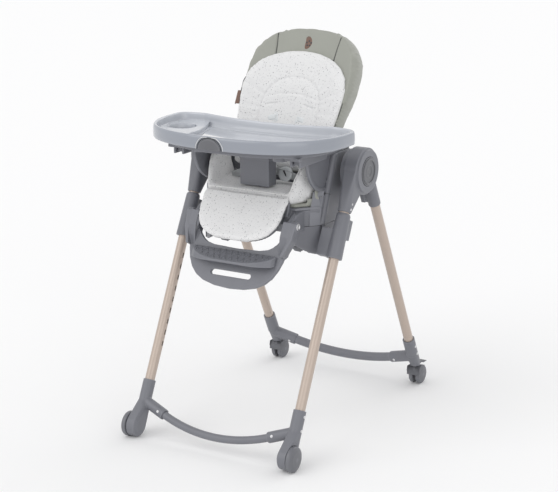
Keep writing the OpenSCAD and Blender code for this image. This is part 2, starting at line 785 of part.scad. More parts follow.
// Outline of the tray seen from above, d inside its edge: a rounded front, and a back edge that is hollowed.
function tray_outline(d) = concat(
    [for (i = [0 : 24]) let (p = super_point(tray_half_w - d, tray_front + tray_mid - d, 2.5, 180 + 7.5 * i))
        [p[0], tray_mid + p[1]]],
    [for (i = [1 : 19]) let (p = super_point(tray_half_w - d, tray_back - tray_mid - d, 4.8, 9 * i))
        [p[0], tray_mid + p[1] - tray_hollow * max(0, 1 - pow(p[0] / tray_hollow_at, 2))]]
);

base_z = 788;
skirt_z = 806;
floor_z = 808;
step_z = 822;        // top of the raised corner round the cup recess
cup_x = -205;
cup_y = -182;
cup_r = 36;
release_r = 31;

// Line across the tray between the raised corner and the clear panel, moved d to the right.
function step_line(d) = [[-186 + d, -40], [-152 + d, -150], [-136 + d, -200], [-136 + d, -400]];

module tray_base() {
    color(shell_grey) difference() {
        union() {
            difference() {
                translate([0, 0, base_z]) linear_extrude(skirt_z - base_z - 0.5) polygon(tray_outline(44));
                translate([0, 0, base_z - 1]) linear_extrude(60) polygon(tray_outline(52));
            }
            intersection() {
                translate([0, 0, base_z]) linear_extrude(8) polygon(tray_outline(45));
                union() {
                    translate([-52, -400, base_z]) cube([104, 320, 8]);
                    for (side = [-1, 1]) on_side(side) translate([150, -400, base_z]) cube([62, 320, 8]);
                }
            }
            for (side = [-1, 1]) on_side(side) union() {
                // guides that ride on the armrests
                translate([161, -245, base_z - 28]) cube([6, 140, 29]);
                translate([187, -245, base_z - 28]) cube([6, 140, 29]);
                translate([155, -262, base_z - 8]) cube([44, 14, 9]);
                // rounded housing of the slide catch
                translate([124, -228, base_z - 18]) cylinder(r = 20, h = 19);
                translate([52, -150, base_z]) cube([100, 34, 8]);
                translate([116, -228, base_z]) cube([16, 80, 8]);
            }
            // post between the child's legs, with a wider collar
            translate([-44, -152, 676]) cube([88, 40, base_z - 675]);
            translate([-46, -154, 748]) cube([92, 44, base_z - 747]);
        }
        translate([cup_x, cup_y, base_z - 1]) cylinder(r = cup_r + 4, h = 60);
        translate([-38, -146, 670]) cube([76, 28, base_z - 664]);
    }
}

module tray_insert() {
    color(tray_blue) difference() {
        union() {
            difference() {
                translate([0, 0, skirt_z]) linear_extrude(tray_top - skirt_z) polygon(tray_outline(0));
                translate([0, 0, skirt_z - 1]) linear_extrude(floor_z - skirt_z + 1) polygon(tray_outline(5));
                translate([0, 0, floor_z + 4]) linear_extrude(60) polygon(tray_outline(11));
            }
            intersection() {
                translate([0, 0, floor_z]) linear_extrude(step_z - floor_z) polygon(tray_outline(10));
                translate([0, 0, floor_z - 1]) linear_extrude(40)
                    polygon(concat([[-300, -400], [-300, -40]], step_line(0)));
            }
            translate([cup_x, cup_y, 792]) cylinder(r = cup_r + 3, h = 17);
        }
        translate([cup_x, cup_y, 795]) cylinder(r = cup_r, h = 40);
        clear_panel(0, floor_z - 1, 6);
        difference() {
            y_cylinder(release_r + 1, -400, -335, 0, skirt_z);
            translate([-60, -343.5, floor_z + 1]) cube([120, 20, 60]);
        }
    }
}

// The clear panel's block: it follows the tray's edge and the raised corner, d inside the opening.
module clear_panel(d, z, height) {
    intersection() {
        translate([0, 0, z]) linear_extrude(height) polygon(tray_outline(30 + d));
        translate([0, 0, z - 1]) linear_extrude(height + 2)
            polygon(concat(step_line(8 + d), [[228 - d, -400], [228 - d, -40]]));
    }
}

module tray_window() {
    color([0.92, 0.93, 0.94, 0.4]) clear_panel(0.25, floor_z + 0.5, 3);
}

module tray_release() {
    color(dark_grey) intersection() {
        y_cylinder(release_r, -360, -347, 0, skirt_z);
        translate([-60, -400, skirt_z]) cube([120, 100, 60]);
    }
}

// ---------- assembly ----------

front_leg_tube(-1);  // front_leg_tube_left
front_leg_tube(1);  // front_leg_tube_right
rear_leg_tube(-1);  // rear_leg_tube_left
rear_leg_tube(1);  // rear_leg_tube_right
front_crossbar();
rear_crossbar();
front_foot(-1);  // front_foot_left
front_foot(1);  // front_foot_right
rear_foot(-1);  // rear_foot_left
rear_foot(1);  // rear_foot_right
front_axles();
front_wheel(-1);  // front_wheel_left
front_wheel(1);  // front_wheel_right
caster_body(-1);  // caster_body_left
caster_body(1);  // caster_body_right
caster_wheels(-1);  // caster_wheels_left
caster_wheels(1);  // caster_wheels_right
caster_brake(-1);  // caster_brake_left
caster_brake(1);  // caster_brake_right
hub_arm(-1);  // hub_arm_left
hub_arm(1);  // hub_arm_right
hub_pins();
rear_leg_socket(-1);  // rear_leg_socket_left
rear_leg_socket(1);  // rear_leg_socket_right
fold_button(-1);  // fold_button_left
fold_button(1);  // fold_button_right
carriage(-1);  // carriage_left
carriage(1);  // carriage_right
height_button(-1);  // height_button_left
height_button(1);  // height_button_right
seat_base();
seat_bucket();
side_cover(-1);  // side_cover_left
side_cover(1);  // side_cover_right
side_panel(-1);  // side_panel_left
side_panel(1);  // side_panel_right
armrest(-1);  // armrest_left
armrest(1);  // armrest_right
seat_cover();
seat_inlay();
seat_pins();
crotch_strap();
buckle();
buckle_button();
back_shell();
back_cover();
back_inlay();
shoulder_straps();
strap_adjuster(-1);  // strap_adjuster_left
strap_adjuster(1);  // strap_adjuster_right
recline_lever();
calf_board();
calf_pad();
footrest();
footrest_tread();
tray_base();
tray_insert();
tray_window();
tray_release();
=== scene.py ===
"""Looks of the folding baby high chair: materials, padded fabric, webbing and moulded shells."""
import json
import math

import bmesh
import bpy
import numpy as np
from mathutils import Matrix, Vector


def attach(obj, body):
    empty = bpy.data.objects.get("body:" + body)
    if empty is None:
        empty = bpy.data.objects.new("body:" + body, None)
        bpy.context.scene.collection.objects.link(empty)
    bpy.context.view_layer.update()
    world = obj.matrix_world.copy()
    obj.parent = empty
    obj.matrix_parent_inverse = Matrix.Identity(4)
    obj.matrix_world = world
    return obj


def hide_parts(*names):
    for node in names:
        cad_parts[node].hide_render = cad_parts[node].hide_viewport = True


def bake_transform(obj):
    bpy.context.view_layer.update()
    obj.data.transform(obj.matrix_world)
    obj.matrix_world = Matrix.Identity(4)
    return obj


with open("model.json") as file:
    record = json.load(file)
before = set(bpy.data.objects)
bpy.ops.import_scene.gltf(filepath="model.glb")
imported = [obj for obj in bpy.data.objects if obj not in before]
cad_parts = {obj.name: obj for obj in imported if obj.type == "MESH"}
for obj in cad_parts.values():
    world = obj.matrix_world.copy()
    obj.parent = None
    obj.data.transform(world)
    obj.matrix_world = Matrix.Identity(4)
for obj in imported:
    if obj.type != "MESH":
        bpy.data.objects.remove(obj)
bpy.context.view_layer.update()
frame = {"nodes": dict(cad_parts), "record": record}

scene = bpy.context.scene
SIDES = (("left", -1), ("right", 1))


# ---------- camera, floor and light ----------

def make_camera():
    """30 degrees to one side of the chair's front and 15 degrees down, with a long lens."""
    look = Vector((-0.4861, 0.8345, -0.2593)).normalized()
    data = bpy.data.cameras.new("camera")
    data.sensor_width = 36.0
    data.lens = 104.8
    data.shift_x = -0.0072
    camera = bpy.data.objects.new("camera", data)
    camera.location = (2.178, -3.740, 1.637)
    camera.rotation_euler = look.to_track_quat("-Z", "Y").to_euler()
    scene.collection.objects.link(camera)
    scene.camera = camera


def soft_light(name, place, aim, spread, power):
    """A broad, even light that reaches the whole floor alike."""
    data = bpy.data.lights.new(name, "SUN")
    data.angle = math.radians(spread)
    data.energy = power
    light = bpy.data.objects.new(name, data)
    light.location = place
    light.rotation_euler = (Vector(aim) - Vector(place)).to_track_quat("-Z", "Y").to_euler()
    scene.collection.objects.link(light)


def make_studio():
    world = bpy.data.worlds.new("studio")
    scene.world = world
    world.use_nodes = True
    world.node_tree.nodes["Background"].inputs["Color"].default_value = (0.93, 0.93, 0.935, 1)
    world.node_tree.nodes["Background"].inputs["Strength"].default_value = 0.92
    mesh = bpy.data.meshes.new("floor")
    mesh.from_pydata([(-30, -30, 0), (30, -30, 0), (30, 30, 0), (-30, 30, 0)], [], [(0, 1, 2, 3)])
    floor = bpy.data.objects.new("floor", mesh)
    scene.collection.objects.link(floor)
    paint = bpy.data.materials.new("studio_floor")
    paint.use_nodes = True
    shader = paint.node_tree.nodes["Principled BSDF"]
    shader.inputs["Base Color"].default_value = (0.925, 0.925, 0.925, 1)
    shader.inputs["Roughness"].default_value = 0.9
    shader.inputs["Specular IOR Level"].default_value = 0.0
    floor.data.materials.append(paint)
    soft_light("key", (-1.6, -2.6, 3.2), (0, 0, 0.6), 45, 0.58)
    soft_light("fill", (2.6, -2.6, 1.3), (0, 0, 0.6), 50, 0.45)
    soft_light("back", (0.6, 3.0, 2.6), (0, 0, 0.7), 40, 0.32)
    scene.view_settings.view_transform = "Standard"


# ---------- frames of the design ----------

class Tilted:
    """A frame turned about X, such as the reclined back: y is its normal and z runs along it."""

    def __init__(self, origin, degrees):
        self.origin = np.array(origin, float)
        self.c = math.cos(math.radians(degrees))
        self.s = math.sin(math.radians(degrees))

    def out(self, x, y, z):
        """Local coordinates to the row frame."""
        x, y, z = np.broadcast_arrays(np.asarray(x, float), y, z)
        return np.stack([x, y * self.c + z * self.s, -y * self.s + z * self.c], -1) + self.origin

    def into(self, points):
        """Row-frame points to local coordinates."""
        p = np.asarray(points, float) - self.origin
        return np.stack([p[..., 0], p[..., 1] * self.c - p[..., 2] * self.s,
                         p[..., 1] * self.s + p[..., 2] * self.c], -1)


LEG_X, HUB_Z = 0.235, 0.714
BACK = Tilted((0, 0.005, 0.648), 27)
CALF = Tilted((0, -0.176, 0.650), 38.9)
FOOT = Tilted((0, -0.212, 0.597), 27)
FRONT_LEG = Tilted((0, 0, HUB_Z), 25.9)
REAR_LEG = Tilted((0, 0, HUB_Z), -27)


# ---------- materials ----------

class Shader:
    """A principled material with short helpers for its texture nodes."""

    def __init__(self, name, colour, roughness, **sockets):
        self.material = bpy.data.materials.new(name)
        self.material.use_nodes = True
        self.tree = self.material.node_tree
        self.bsdf = self.tree.nodes["Principled BSDF"]
        self.set("Base Color", (*colour, 1))
        self.set("Roughness", roughness)
        for socket, value in sockets.items():
            self.set(socket.replace("_", " "), value)
        self.place = self.tree.nodes.new("ShaderNodeTexCoord").outputs["Object"]
        self.material.diffuse_color = (*colour, 1)

    def set(self, socket, value):
        self.bsdf.inputs[socket].default_value = value

    def node(self, kind, inputs=(), **settings):
        n = self.tree.nodes.new(kind)
        for key, value in settings.items():
            setattr(n, key, value)
        for key, value in dict(inputs).items():
            if isinstance(value, bpy.types.NodeSocket):
                self.tree.links.new(value, n.inputs[key])
            else:
                n.inputs[key].default_value = value
        return n

    def noise(self, scale, detail=3.0, stretch=None):
        place = self.place
        if stretch:
            place = self.node("ShaderNodeMapping", {"Vector": place, "Scale": stretch}).outputs["Vector"]
        n = self.node("ShaderNodeTexNoise", {"Vector": place, "Scale": scale, "Detail": detail})
        return n.outputs["Fac"]

    def voronoi(self, scale, output="Distance", feature="F1", randomness=1.0):
        n = self.node("ShaderNodeTexVoronoi", {"Vector": self.place, "Scale": scale,
                                               "Randomness": randomness},
                      feature=feature)
        return n.outputs[output]

    def ramp(self, value, stops):
        n = self.node("ShaderNodeValToRGB", {"Fac": value})
        elements = n.color_ramp.elements
        while len(elements) < len(stops):
            elements.new(0.5)
        for element, (place, colour) in zip(elements, stops):
            element.position = place
            element.color = (*colour, 1) if hasattr(colour, "__len__") else (colour, colour, colour, 1)
        return n.outputs["Color"]

    def maths(self, operation, a, b=0.0):
        return self.node("ShaderNodeMath", {0: a, 1: b}, operation=operation).outputs[0]

    def mix(self, factor, a, b, blend="MIX"):
        n = self.node("ShaderNodeMix", data_type="RGBA", blend_type=blend)
        for index, value in ((0, factor), (6, a), (7, b)):
            if isinstance(value, bpy.types.NodeSocket):
                self.tree.links.new(value, n.inputs[index])
            else:
                n.inputs[index].default_value = value if index == 0 else (*value, 1)
        return n.outputs[2]

    def colour(self, socket):
        self.tree.links.new(socket, self.bsdf.inputs["Base Color"])

    def rough(self, socket, low, high):
        n = self.node("ShaderNodeMapRange", {"Value": socket, "To Min": low, "To Max": high})
        self.tree.links.new(n.outputs["Result"], self.bsdf.inputs["Roughness"])

    def bump(self, *layers):
        """Layers are (height socket, strength, distance in metres), stacked."""
        normal = None
        for height, strength, distance in layers:
            inputs = {"Height": height, "Strength": strength, "Distance": distance}
            if normal:
                inputs["Normal"] = normal
            normal = self.node("ShaderNodeBump", inputs).outputs["Normal"]
        self.tree.links.new(normal, self.bsdf.inputs["Normal"])

    def painted_edge_highlight(self, base, lighter, amount=0.35):
        """Convex edges painted a little lighter from the mesh's pointiness, as a painted highlight."""
        edge = self.ramp(self.node("ShaderNodeNewGeometry").outputs["Pointiness"], [(0.50, 0.0), (0.56, 1.0)])
        return self.mix(self.maths("MULTIPLY", edge, amount), base, lighter)


def shade(colour, factor, lift=0.0):
    """A colour made lighter or darker."""
    return [min(1, c * factor + lift) for c in colour]


def moulded_plastic(name, colour, roughness=0.42, coat=0.0):
    s = Shader(name, colour, roughness, Coat_Weight=coat, Coat_Roughness=0.25)
    cloud = s.noise(9, 4)
    tint = s.mix(cloud, shade(colour, 0.93), shade(colour, 1.06))
    s.colour(s.painted_edge_highlight(tint, shade(colour, 1.55, 0.03)))
    s.rough(s.noise(35, 5), roughness - 0.07, roughness + 0.08)
    s.bump((s.voronoi(1500), 0.10, 0.0002), (s.noise(700, 2), 0.10, 0.0002))
    return s.material


def gloss_plastic(name, colour, roughness=0.22, coat=0.5):
    s = Shader(name, colour, roughness, Coat_Weight=coat, Coat_Roughness=0.08)
    cloud = s.noise(6, 3)
    tint = s.mix(cloud, shade(colour, 0.95), shade(colour, 1.05))
    s.colour(s.painted_edge_highlight(tint, shade(colour, 1.25, 0.02), 0.5))
    scratches = s.noise(60, 6, (1, 8, 1))
    s.rough(scratches, roughness - 0.05, roughness + 0.09)
    s.bump((s.noise(14, 2), 0.04, 0.002), (scratches, 0.03, 0.0001))
    return s.material


def painted_tube(name, colour):
    s = Shader(name, colour, 0.33, Metallic=0.30, Coat_Weight=0.25, Coat_Roughness=0.2)
    flake = s.voronoi(2600, "Color")
    grey = s.node("ShaderNodeSeparateColor", {"Color": flake}).outputs["Red"]
    s.colour(s.mix(s.maths("MULTIPLY", grey, 0.55), shade(colour, 0.90), shade(colour, 1.16)))
    s.rough(s.noise(50, 5), 0.26, 0.42)
    s.bump((s.noise(900, 2), 0.06, 0.0002))
    return s.material


def plated_steel(name):
    s = Shader(name, (0.74, 0.74, 0.75), 0.26, Metallic=1.0)
    s.rough(s.noise(400, 4, (1, 1, 6)), 0.18, 0.42)
    s.bump((s.noise(1200, 2), 0.08, 0.0001))
    return s.material


def leatherette(name, colour):
    s = Shader(name, colour, 0.48, Sheen_Weight=0.12, Sheen_Roughness=0.4)
    cloud = s.noise(7, 5)
    cells = s.voronoi(620, "Distance", "DISTANCE_TO_EDGE")
    creases = s.ramp(cells, [(0.0, 0.0), (0.14, 1.0)])
    tint = s.mix(cloud, shade(colour, 0.90), shade(colour, 1.08))
    s.colour(s.painted_edge_highlight(tint, shade(colour, 1.18), 0.4))
    s.rough(s.noise(28, 5), 0.42, 0.58)
    s.bump((creases, 0.22, 0.0003), (s.noise(160, 4), 0.10, 0.0006))
    return s.material


def speckled_fabric(name, colour):
    """Off-white heather knit with sparse dark flecks."""
    s = Shader(name, colour, 0.92, Sheen_Weight=0.25, Sheen_Roughness=0.5)
    heather = s.noise(320, 4, (1, 1, 2.2))
    cloud = s.noise(16, 4)
    body = s.mix(heather, shade(colour, 0.90), shade(colour, 1.05))
    body = s.mix(s.maths("MULTIPLY", cloud, 0.18), body, shade(colour, 0.90))
    flecks = ((150, 0.20, 0.58, 0.20), (260, 0.25, 0.50, 0.42), (90, 0.11, 0.50, 0.12))
    for scale, size, share, dark in flecks:
        cell = s.node("ShaderNodeTexVoronoi", {"Vector": s.place, "Scale": scale, "Randomness": 1.0})
        chance = s.node("ShaderNodeSeparateColor", {"Color": cell.outputs["Color"]}).outputs["Red"]
        fleck = s.maths("MULTIPLY", s.maths("LESS_THAN", cell.outputs["Distance"], size),
                        s.maths("GREATER_THAN", chance, share))
        soft = s.maths("MULTIPLY", fleck, 0.70)
        body = s.mix(soft, body, (dark, dark, dark * 1.05))
    s.colour(body)
    weave = s.voronoi(900.0, randomness=0.35)
    s.bump((weave, 0.30, 0.0004), (s.noise(220, 3), 0.18, 0.0008))
    return s.material


def webbing(name, colour):
    s = Shader(name, colour, 0.75, Sheen_Weight=0.2)
    ribs = s.node("ShaderNodeTexWave", {"Vector": s.place, "Scale": 260.0, "Distortion": 0.6, "Detail": 1.0},
                  wave_type="BANDS", bands_direction="Z").outputs["Fac"]
    rows = s.node("ShaderNodeTexWave", {"Vector": s.place, "Scale": 160.0, "Distortion": 0.4, "Detail": 1.0},
                  wave_type="BANDS", bands_direction="X").outputs["Fac"]
    weave = s.maths("MULTIPLY", ribs, rows)
    s.colour(s.mix(weave, shade(colour, 0.80), shade(colour, 1.06)))
    s.bump((weave, 0.5, 0.0005))
    return s.material


def mirror_panel(name, colour):
    """The clear, highly glossy floor panel of the tray over a light backing."""
    s = Shader(name, colour, 0.035, Metallic=0.95, IOR=1.95, Coat_Weight=1.0, Coat_Roughness=0.02,
               Coat_IOR=1.7)
    s.colour(s.mix(s.noise(5, 2), shade(colour, 0.96), colour))
    s.rough(s.noise(45, 6), 0.02, 0.06)
    s.bump((s.noise(7, 2), 0.02, 0.002))
    return s.material


def make_materials():
    grey = (0.172, 0.176, 0.197)
    return {
        "tube": painted_tube("tube_paint", (0.50, 0.415, 0.355)),
        "shell": moulded_plastic("moulded_grey", grey, 0.40),
        "dark": moulded_plastic("moulded_dark_grey", (0.118, 0.121, 0.134), 0.45),
        "wheel": moulded_plastic("wheel_grey", (0.132, 0.135, 0.150), 0.36),
        "steel": plated_steel("zinc_plate"),
        "leatherette": leatherette("sage_leatherette", (0.315, 0.322, 0.285)),
        "inlay": speckled_fabric("speckled_knit", (0.775, 0.775, 0.775)),
        "webbing": webbing("harness_webbing", (0.56, 0.58, 0.59)),
        "clip": gloss_plastic("clip_grey", (0.60, 0.625, 0.635), 0.3, 0.3),
        "tray": gloss_plastic("tray_blue_grey", (0.262, 0.280, 0.318), 0.22, 0.6),
        "tray_inside": gloss_plastic("tray_pale_grey", (0.47, 0.49, 0.53), 0.20, 0.7),
        "clear": mirror_panel("tray_panel", (0.93, 0.93, 0.94)),
        "button": moulded_plastic("button_grey", (0.125, 0.127, 0.138), 0.38),
        "brown": leatherette("brown_leather", (0.165, 0.095, 0.070)),
        # White thread and piping; also the painted highlight line round the tray's release button.
        "thread_and_highlight": speckled_fabric("white_thread_and_highlight", (0.86, 0.86, 0.85)),
        "shadow": moulded_plastic("shadow_grey", (0.045, 0.046, 0.050), 0.6),
    }


# ---------- mesh helpers ----------

def add_object(name, mesh, material, body=None, slot=None):
    piece = bpy.data.objects.new(name, mesh)
    scene.collection.objects.link(piece)
    mesh.materials.clear()
    mesh.materials.append(MATERIALS[material])
    if body:
        finish_piece(piece, body, slot or material)
    return piece


def finish_piece(piece, body, slot, *nodes):
    if body:
        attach(piece, body)
    if nodes:
        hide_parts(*nodes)
    return piece


def dress(piece, material, body, node):
    """Gives a reshaped copy of a CAD node its material, body and place in the model."""
    smooth(piece.data)
    piece.data.materials.append(MATERIALS[material])
    return finish_piece(piece, body, material, node)


def mesh_from(name, vertices, faces):
    mesh = bpy.data.meshes.new(name)
    mesh.from_pydata([tuple(v) for v in vertices], [], faces)
    mesh.validate()
    return mesh


def face_outward(mesh, weld=0.0):
    """Turns the faces outward, after welding points nearer than weld."""
    bm = bmesh.new()
    bm.from_mesh(mesh)
    if weld:
        bmesh.ops.remove_doubles(bm, verts=bm.verts, dist=weld)
    bmesh.ops.recalc_face_normals(bm, faces=bm.faces)
    bm.to_mesh(mesh)
    bm.free()


def row_faces(rows, size, closed=False):
    """Quads between rows of size points; closed joins the last row to the first."""
    faces = []
    for i in range(rows if closed else rows - 1):
        a, b = i * size, (i + 1) % rows * size
        faces += [(a + k, a + (k + 1) % size, b + (k + 1) % size, b + k) for k in range(size)]
    return faces


def end_faces(rows, size):
    """The faces that close the first row and the last."""
    return [tuple(reversed(range(size))), tuple(range((rows - 1) * size, rows * size))]


def smooth(mesh):
    mesh.polygons.foreach_set("use_smooth", [True] * len(mesh.polygons))
    mesh.update()


def coordinates(mesh):
    co = np.empty(len(mesh.vertices) * 3)
    mesh.vertices.foreach_get("co", co)
    return co.reshape(-1, 3)


def set_coordinates(mesh, co):
    mesh.vertices.foreach_set("co", np.asarray(co, float).ravel())
    mesh.update()


def normals(mesh):
    n = np.empty(len(mesh.vertices) * 3)
    mesh.vertex_normals.foreach_get("vector", n)
    return n.reshape(-1, 3)


def apply_modifiers(piece):
    """Replaces the mesh by what its modifiers make of it."""
    graph = bpy.context.evaluated_depsgraph_get()
    mesh = bpy.data.meshes.new_from_object(piece.evaluated_get(graph))
    old = piece.data
    piece.modifiers.clear()
    piece.data = mesh
    bpy.data.meshes.remove(old)


def copy_node(node, name):
    """A copy of a CAD node's mesh with its doubled corners welded."""
    mesh = frame["nodes"][node].data.copy()
    mesh.name = name
    bm = bmesh.new()
    bm.from_mesh(mesh)
    bmesh.ops.remove_doubles(bm, verts=bm.verts, dist=1e-5)
    bm.to_mesh(mesh)
    bm.free()
    mesh.materials.clear()
    piece = bpy.data.objects.new(name, mesh)
    scene.collection.objects.link(piece)
    return piece


def remesh(piece, voxel):
    m = piece.modifiers.new("remesh", "REMESH")
    m.mode = "VOXEL"
    m.voxel_size = voxel
    apply_modifiers(piece)


def relax(piece, rounds, factor=0.5):
    m = piece.modifiers.new("relax", "SMOOTH")
    m.factor = factor
    m.iterations = rounds
    apply_modifiers(piece)


def subdivide(piece, levels):
    m = piece.modifiers.new("subdivision", "SUBSURF")
    m.levels = m.render_levels = levels
    apply_modifiers(piece)


def moulded(node, material, body, voxel=0.0014, rounds=5, shrink=0.0):
    """A CAD node with its edges rounded as a moulding's are, and its skin drawn in by shrink."""
    piece = copy_node(node, node + "_moulded")
    remesh(piece, voxel)
    relax(piece, rounds)
    if shrink:
        set_coordinates(piece.data, coordinates(piece.data) - normals(piece.data) * shrink)
    return dress(piece, material, body, node)


def tube(name, points, radius, material, body, closed=False, slot=None, sides=10):
    """A round bead, cord or wire along points."""
    points = [Vector(p) for p in points]
    count = len(points)
    vertices = []
    up = Vector((0, 0, 1))
    for i, p in enumerate(points):
        before = points[i - 1] if (i or closed) else p
        after = points[(i + 1) % count] if (i < count - 1 or closed) else p
        along = (after - before).normalized()
        side = along.cross(up)
        if side.length < 1e-3:
            side = along.cross(Vector((0, 1, 0)))
        side.normalize()
        lift = side.cross(along).normalized()
        for k in range(sides):
            a = 2 * math.pi * k / sides
            vertices.append(p + side * radius * math.cos(a) + lift * radius * math.sin(a))
    faces = row_faces(count, sides, closed)
    if not closed:
        faces += end_faces(count, sides)
    mesh = mesh_from(name, vertices, faces)
    smooth(mesh)
    return add_object(name, mesh, material, body, slot)


def resample(points, step):
    """Points spaced evenly along a polyline."""
    p = np.asarray(points, float)
    gaps = np.linalg.norm(np.diff(p, axis=0), axis=1)
    total = np.concatenate([[0], np.cumsum(gaps)])
    count = max(2, int(round(total[-1] / step)) + 1)
    at = np.linspace(0, total[-1], count)
    return np.stack([np.interp(at, total, p[:, k]) for k in range(3)], -1)


def lathe(profile, centre, axis, name, steps=64):
    """A mesh turned about axis through centre; profile is (radius, distance along axis), a loop if off it."""
    axis = Vector(axis).normalized()
    side = axis.orthogonal().normalized()
    other = axis.cross(side)
    vertices = []
    for r, d in profile:
        for k in range(steps):
            a = 2 * math.pi * k / steps
            vertices.append(Vector(centre) + axis * d + (side * math.cos(a) + other * math.sin(a)) * r)
    ring = profile[0][0] > 0 and profile[-1][0] > 0
    mesh = mesh_from(name, vertices, row_faces(len(profile), steps, ring))
    face_outward(mesh, weld=1e-6)
    smooth(mesh)
    return mesh


def take_mesh(piece):
    """The mesh of a piece that is only there to be joined to others."""
    mesh = piece.data.copy()
    bpy.data.objects.remove(piece)
    return mesh


def join(name, meshes, material, body=None, slot=None, nodes=()):
    """Several meshes as one piece."""
    bm = bmesh.new()
    for m in meshes:
        bm.from_mesh(m)
        bpy.data.meshes.remove(m)
    mesh = bpy.data.meshes.new(name)
    bm.to_mesh(mesh)
    bm.free()
    piece = add_object(name, mesh, material, body, slot)
    if nodes:
        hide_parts(*nodes)
    return piece


# ---------- padded fabric ----------

CLOTH_FRAMES = 20


def inflate(piece, voxel=0.005, pressure=4.0, cap=0.006):
    """Voxel remesh, a short cloth run with pressure inside, and each point's travel capped."""
    remesh(piece, voxel)
    rest = coordinates(piece.data)
    cloth = piece.modifiers.new("cloth", "CLOTH")
    s = cloth.settings
    s.use_pressure = True
    s.uniform_pressure_force = pressure
    s.effector_weights.gravity = 0
    s.quality = 5
    cloth.point_cache.frame_start = 1
    cloth.point_cache.frame_end = CLOTH_FRAMES
    for step in range(1, CLOTH_FRAMES + 1):
        scene.frame_set(step)
    graph = bpy.context.evaluated_depsgraph_get()
    swollen = coordinates(piece.evaluated_get(graph).data)
    piece.modifiers.clear()
    scene.frame_set(1)
    move = swollen - rest
    length = np.linalg.norm(move, axis=1, keepdims=True)
    move *= np.minimum(1, cap / np.maximum(length, 1e-9))
    set_coordinates(piece.data, rest + move)
    relax(piece, 2)


def groove(distance, width):
    """Profile of a sewn line: 1 on the seam, falling off over width."""
    return np.exp(-(distance / width) ** 2)


def oval_distance(x, z, a, b, centre, power=2.4):
    """Signed distance, roughly, from an oval outline in metres."""
    f = (np.abs(x / a) ** power + np.abs((z - centre) / b) ** power) ** (1 / power)
    return (f - 1) * 0.5 * (a + b)


def polyline_distance(x, z, points):
    best = np.full(x.shape, 9.0)
    for (x0, z0), (x1, z1) in zip(points[:-1], points[1:]):
        dx, dz = x1 - x0, z1 - z0
        t = np.clip(((x - x0) * dx + (z - z0) * dz) / (dx * dx + dz * dz), 0, 1)
        best = np.minimum(best, np.hypot(x - x0 - t * dx, z - z0 - t * dz))
    return best


DISH, DISH_AT = 0.021, 0.159


def back_surface(x, front):
    """How far forward the dished back's surface is at x."""
    return front - DISH * (np.asarray(x, float) / DISH_AT) ** 2


OVAL = dict(a=0.088, b=0.100, centre=0.186)
COVER_SEAM = [(0.090, 0.330), (0.091, 0.345), (0.094, 0.380), (0.0985, 0.4125)]
SLOT_IN, SLOT_OUT = (0.043, 0.2085), (0.072, 0.2015)


# Half outlines of the back's pieces as (x, v), from the foot up to the middle of the top.
INLAY_EDGE = [(0.0, 0.028), (0.120, 0.030), (0.130, 0.036), (0.134, 0.056), (0.141, 0.100), (0.149, 0.155),
              (0.154, 0.190),
              (0.159, 0.234), (0.159, 0.262), (0.150, 0.294), (0.130, 0.321), (0.108, 0.338), (0.086, 0.349),
              (0.060, 0.358),
              (0.030, 0.364), (0.0, 0.366)]
COVER_EDGE = [(0.0, 0.030), (0.120, 0.032), (0.132, 0.040), (0.137, 0.066), (0.143, 0.100), (0.150, 0.150),
              (0.158, 0.190),
              (0.168, 0.238), (0.1735, 0.274), (0.1755, 0.310), (0.173, 0.342), (0.162, 0.371),
              (0.146, 0.392), (0.126, 0.410),
              (0.104, 0.4215), (0.078, 0.4290), (0.045, 0.4350), (0.0, 0.4370)]
BACK_CENTRE = 0.20


def polar(x, v):
    """Angle and distance about the middle of the back."""
    return np.arctan2(v - BACK_CENTRE, x), np.hypot(x, v - BACK_CENTRE)


def reshape_back(piece, half_outline):
    """Stretches a piece of the back to a new outline; returns how near each point is to the edge."""
    x, n, v = BACK.into(coordinates(piece.data)).T
    angle, radius = polar(x, v)
    bins = np.linspace(-math.pi, math.pi, 181)
    index = np.clip(np.digitize(angle, bins) - 1, 0, 179)
    reach = np.zeros(180)
    np.maximum.at(reach, index, radius)
    middles = 0.5 * (bins[:-1] + bins[1:])
    now = np.interp(angle, middles[reach > 0], reach[reach > 0], period=2 * math.pi)
    whole = half_outline + [(-a, b) for a, b in reversed(half_outline[1:-1])]
    fine = resample([(a, b, 0.0) for a, b in whole + whole[:1]], 0.002)
    edge_angle, edge_radius = polar(fine[:, 0], fine[:, 1])
    order = np.argsort(edge_angle)
    then = np.interp(angle, edge_angle[order], edge_radius[order], period=2 * math.pi)
    scale = then / now
    x, v = x * scale, BACK_CENTRE + (v - BACK_CENTRE) * scale
    set_coordinates(piece.data, BACK.out(x, n, v))
    return radius / now


def ease(value, low, high):
    t = np.clip((value - low) / (high - low), 0, 1)
    return t * t * (3 - 2 * t)


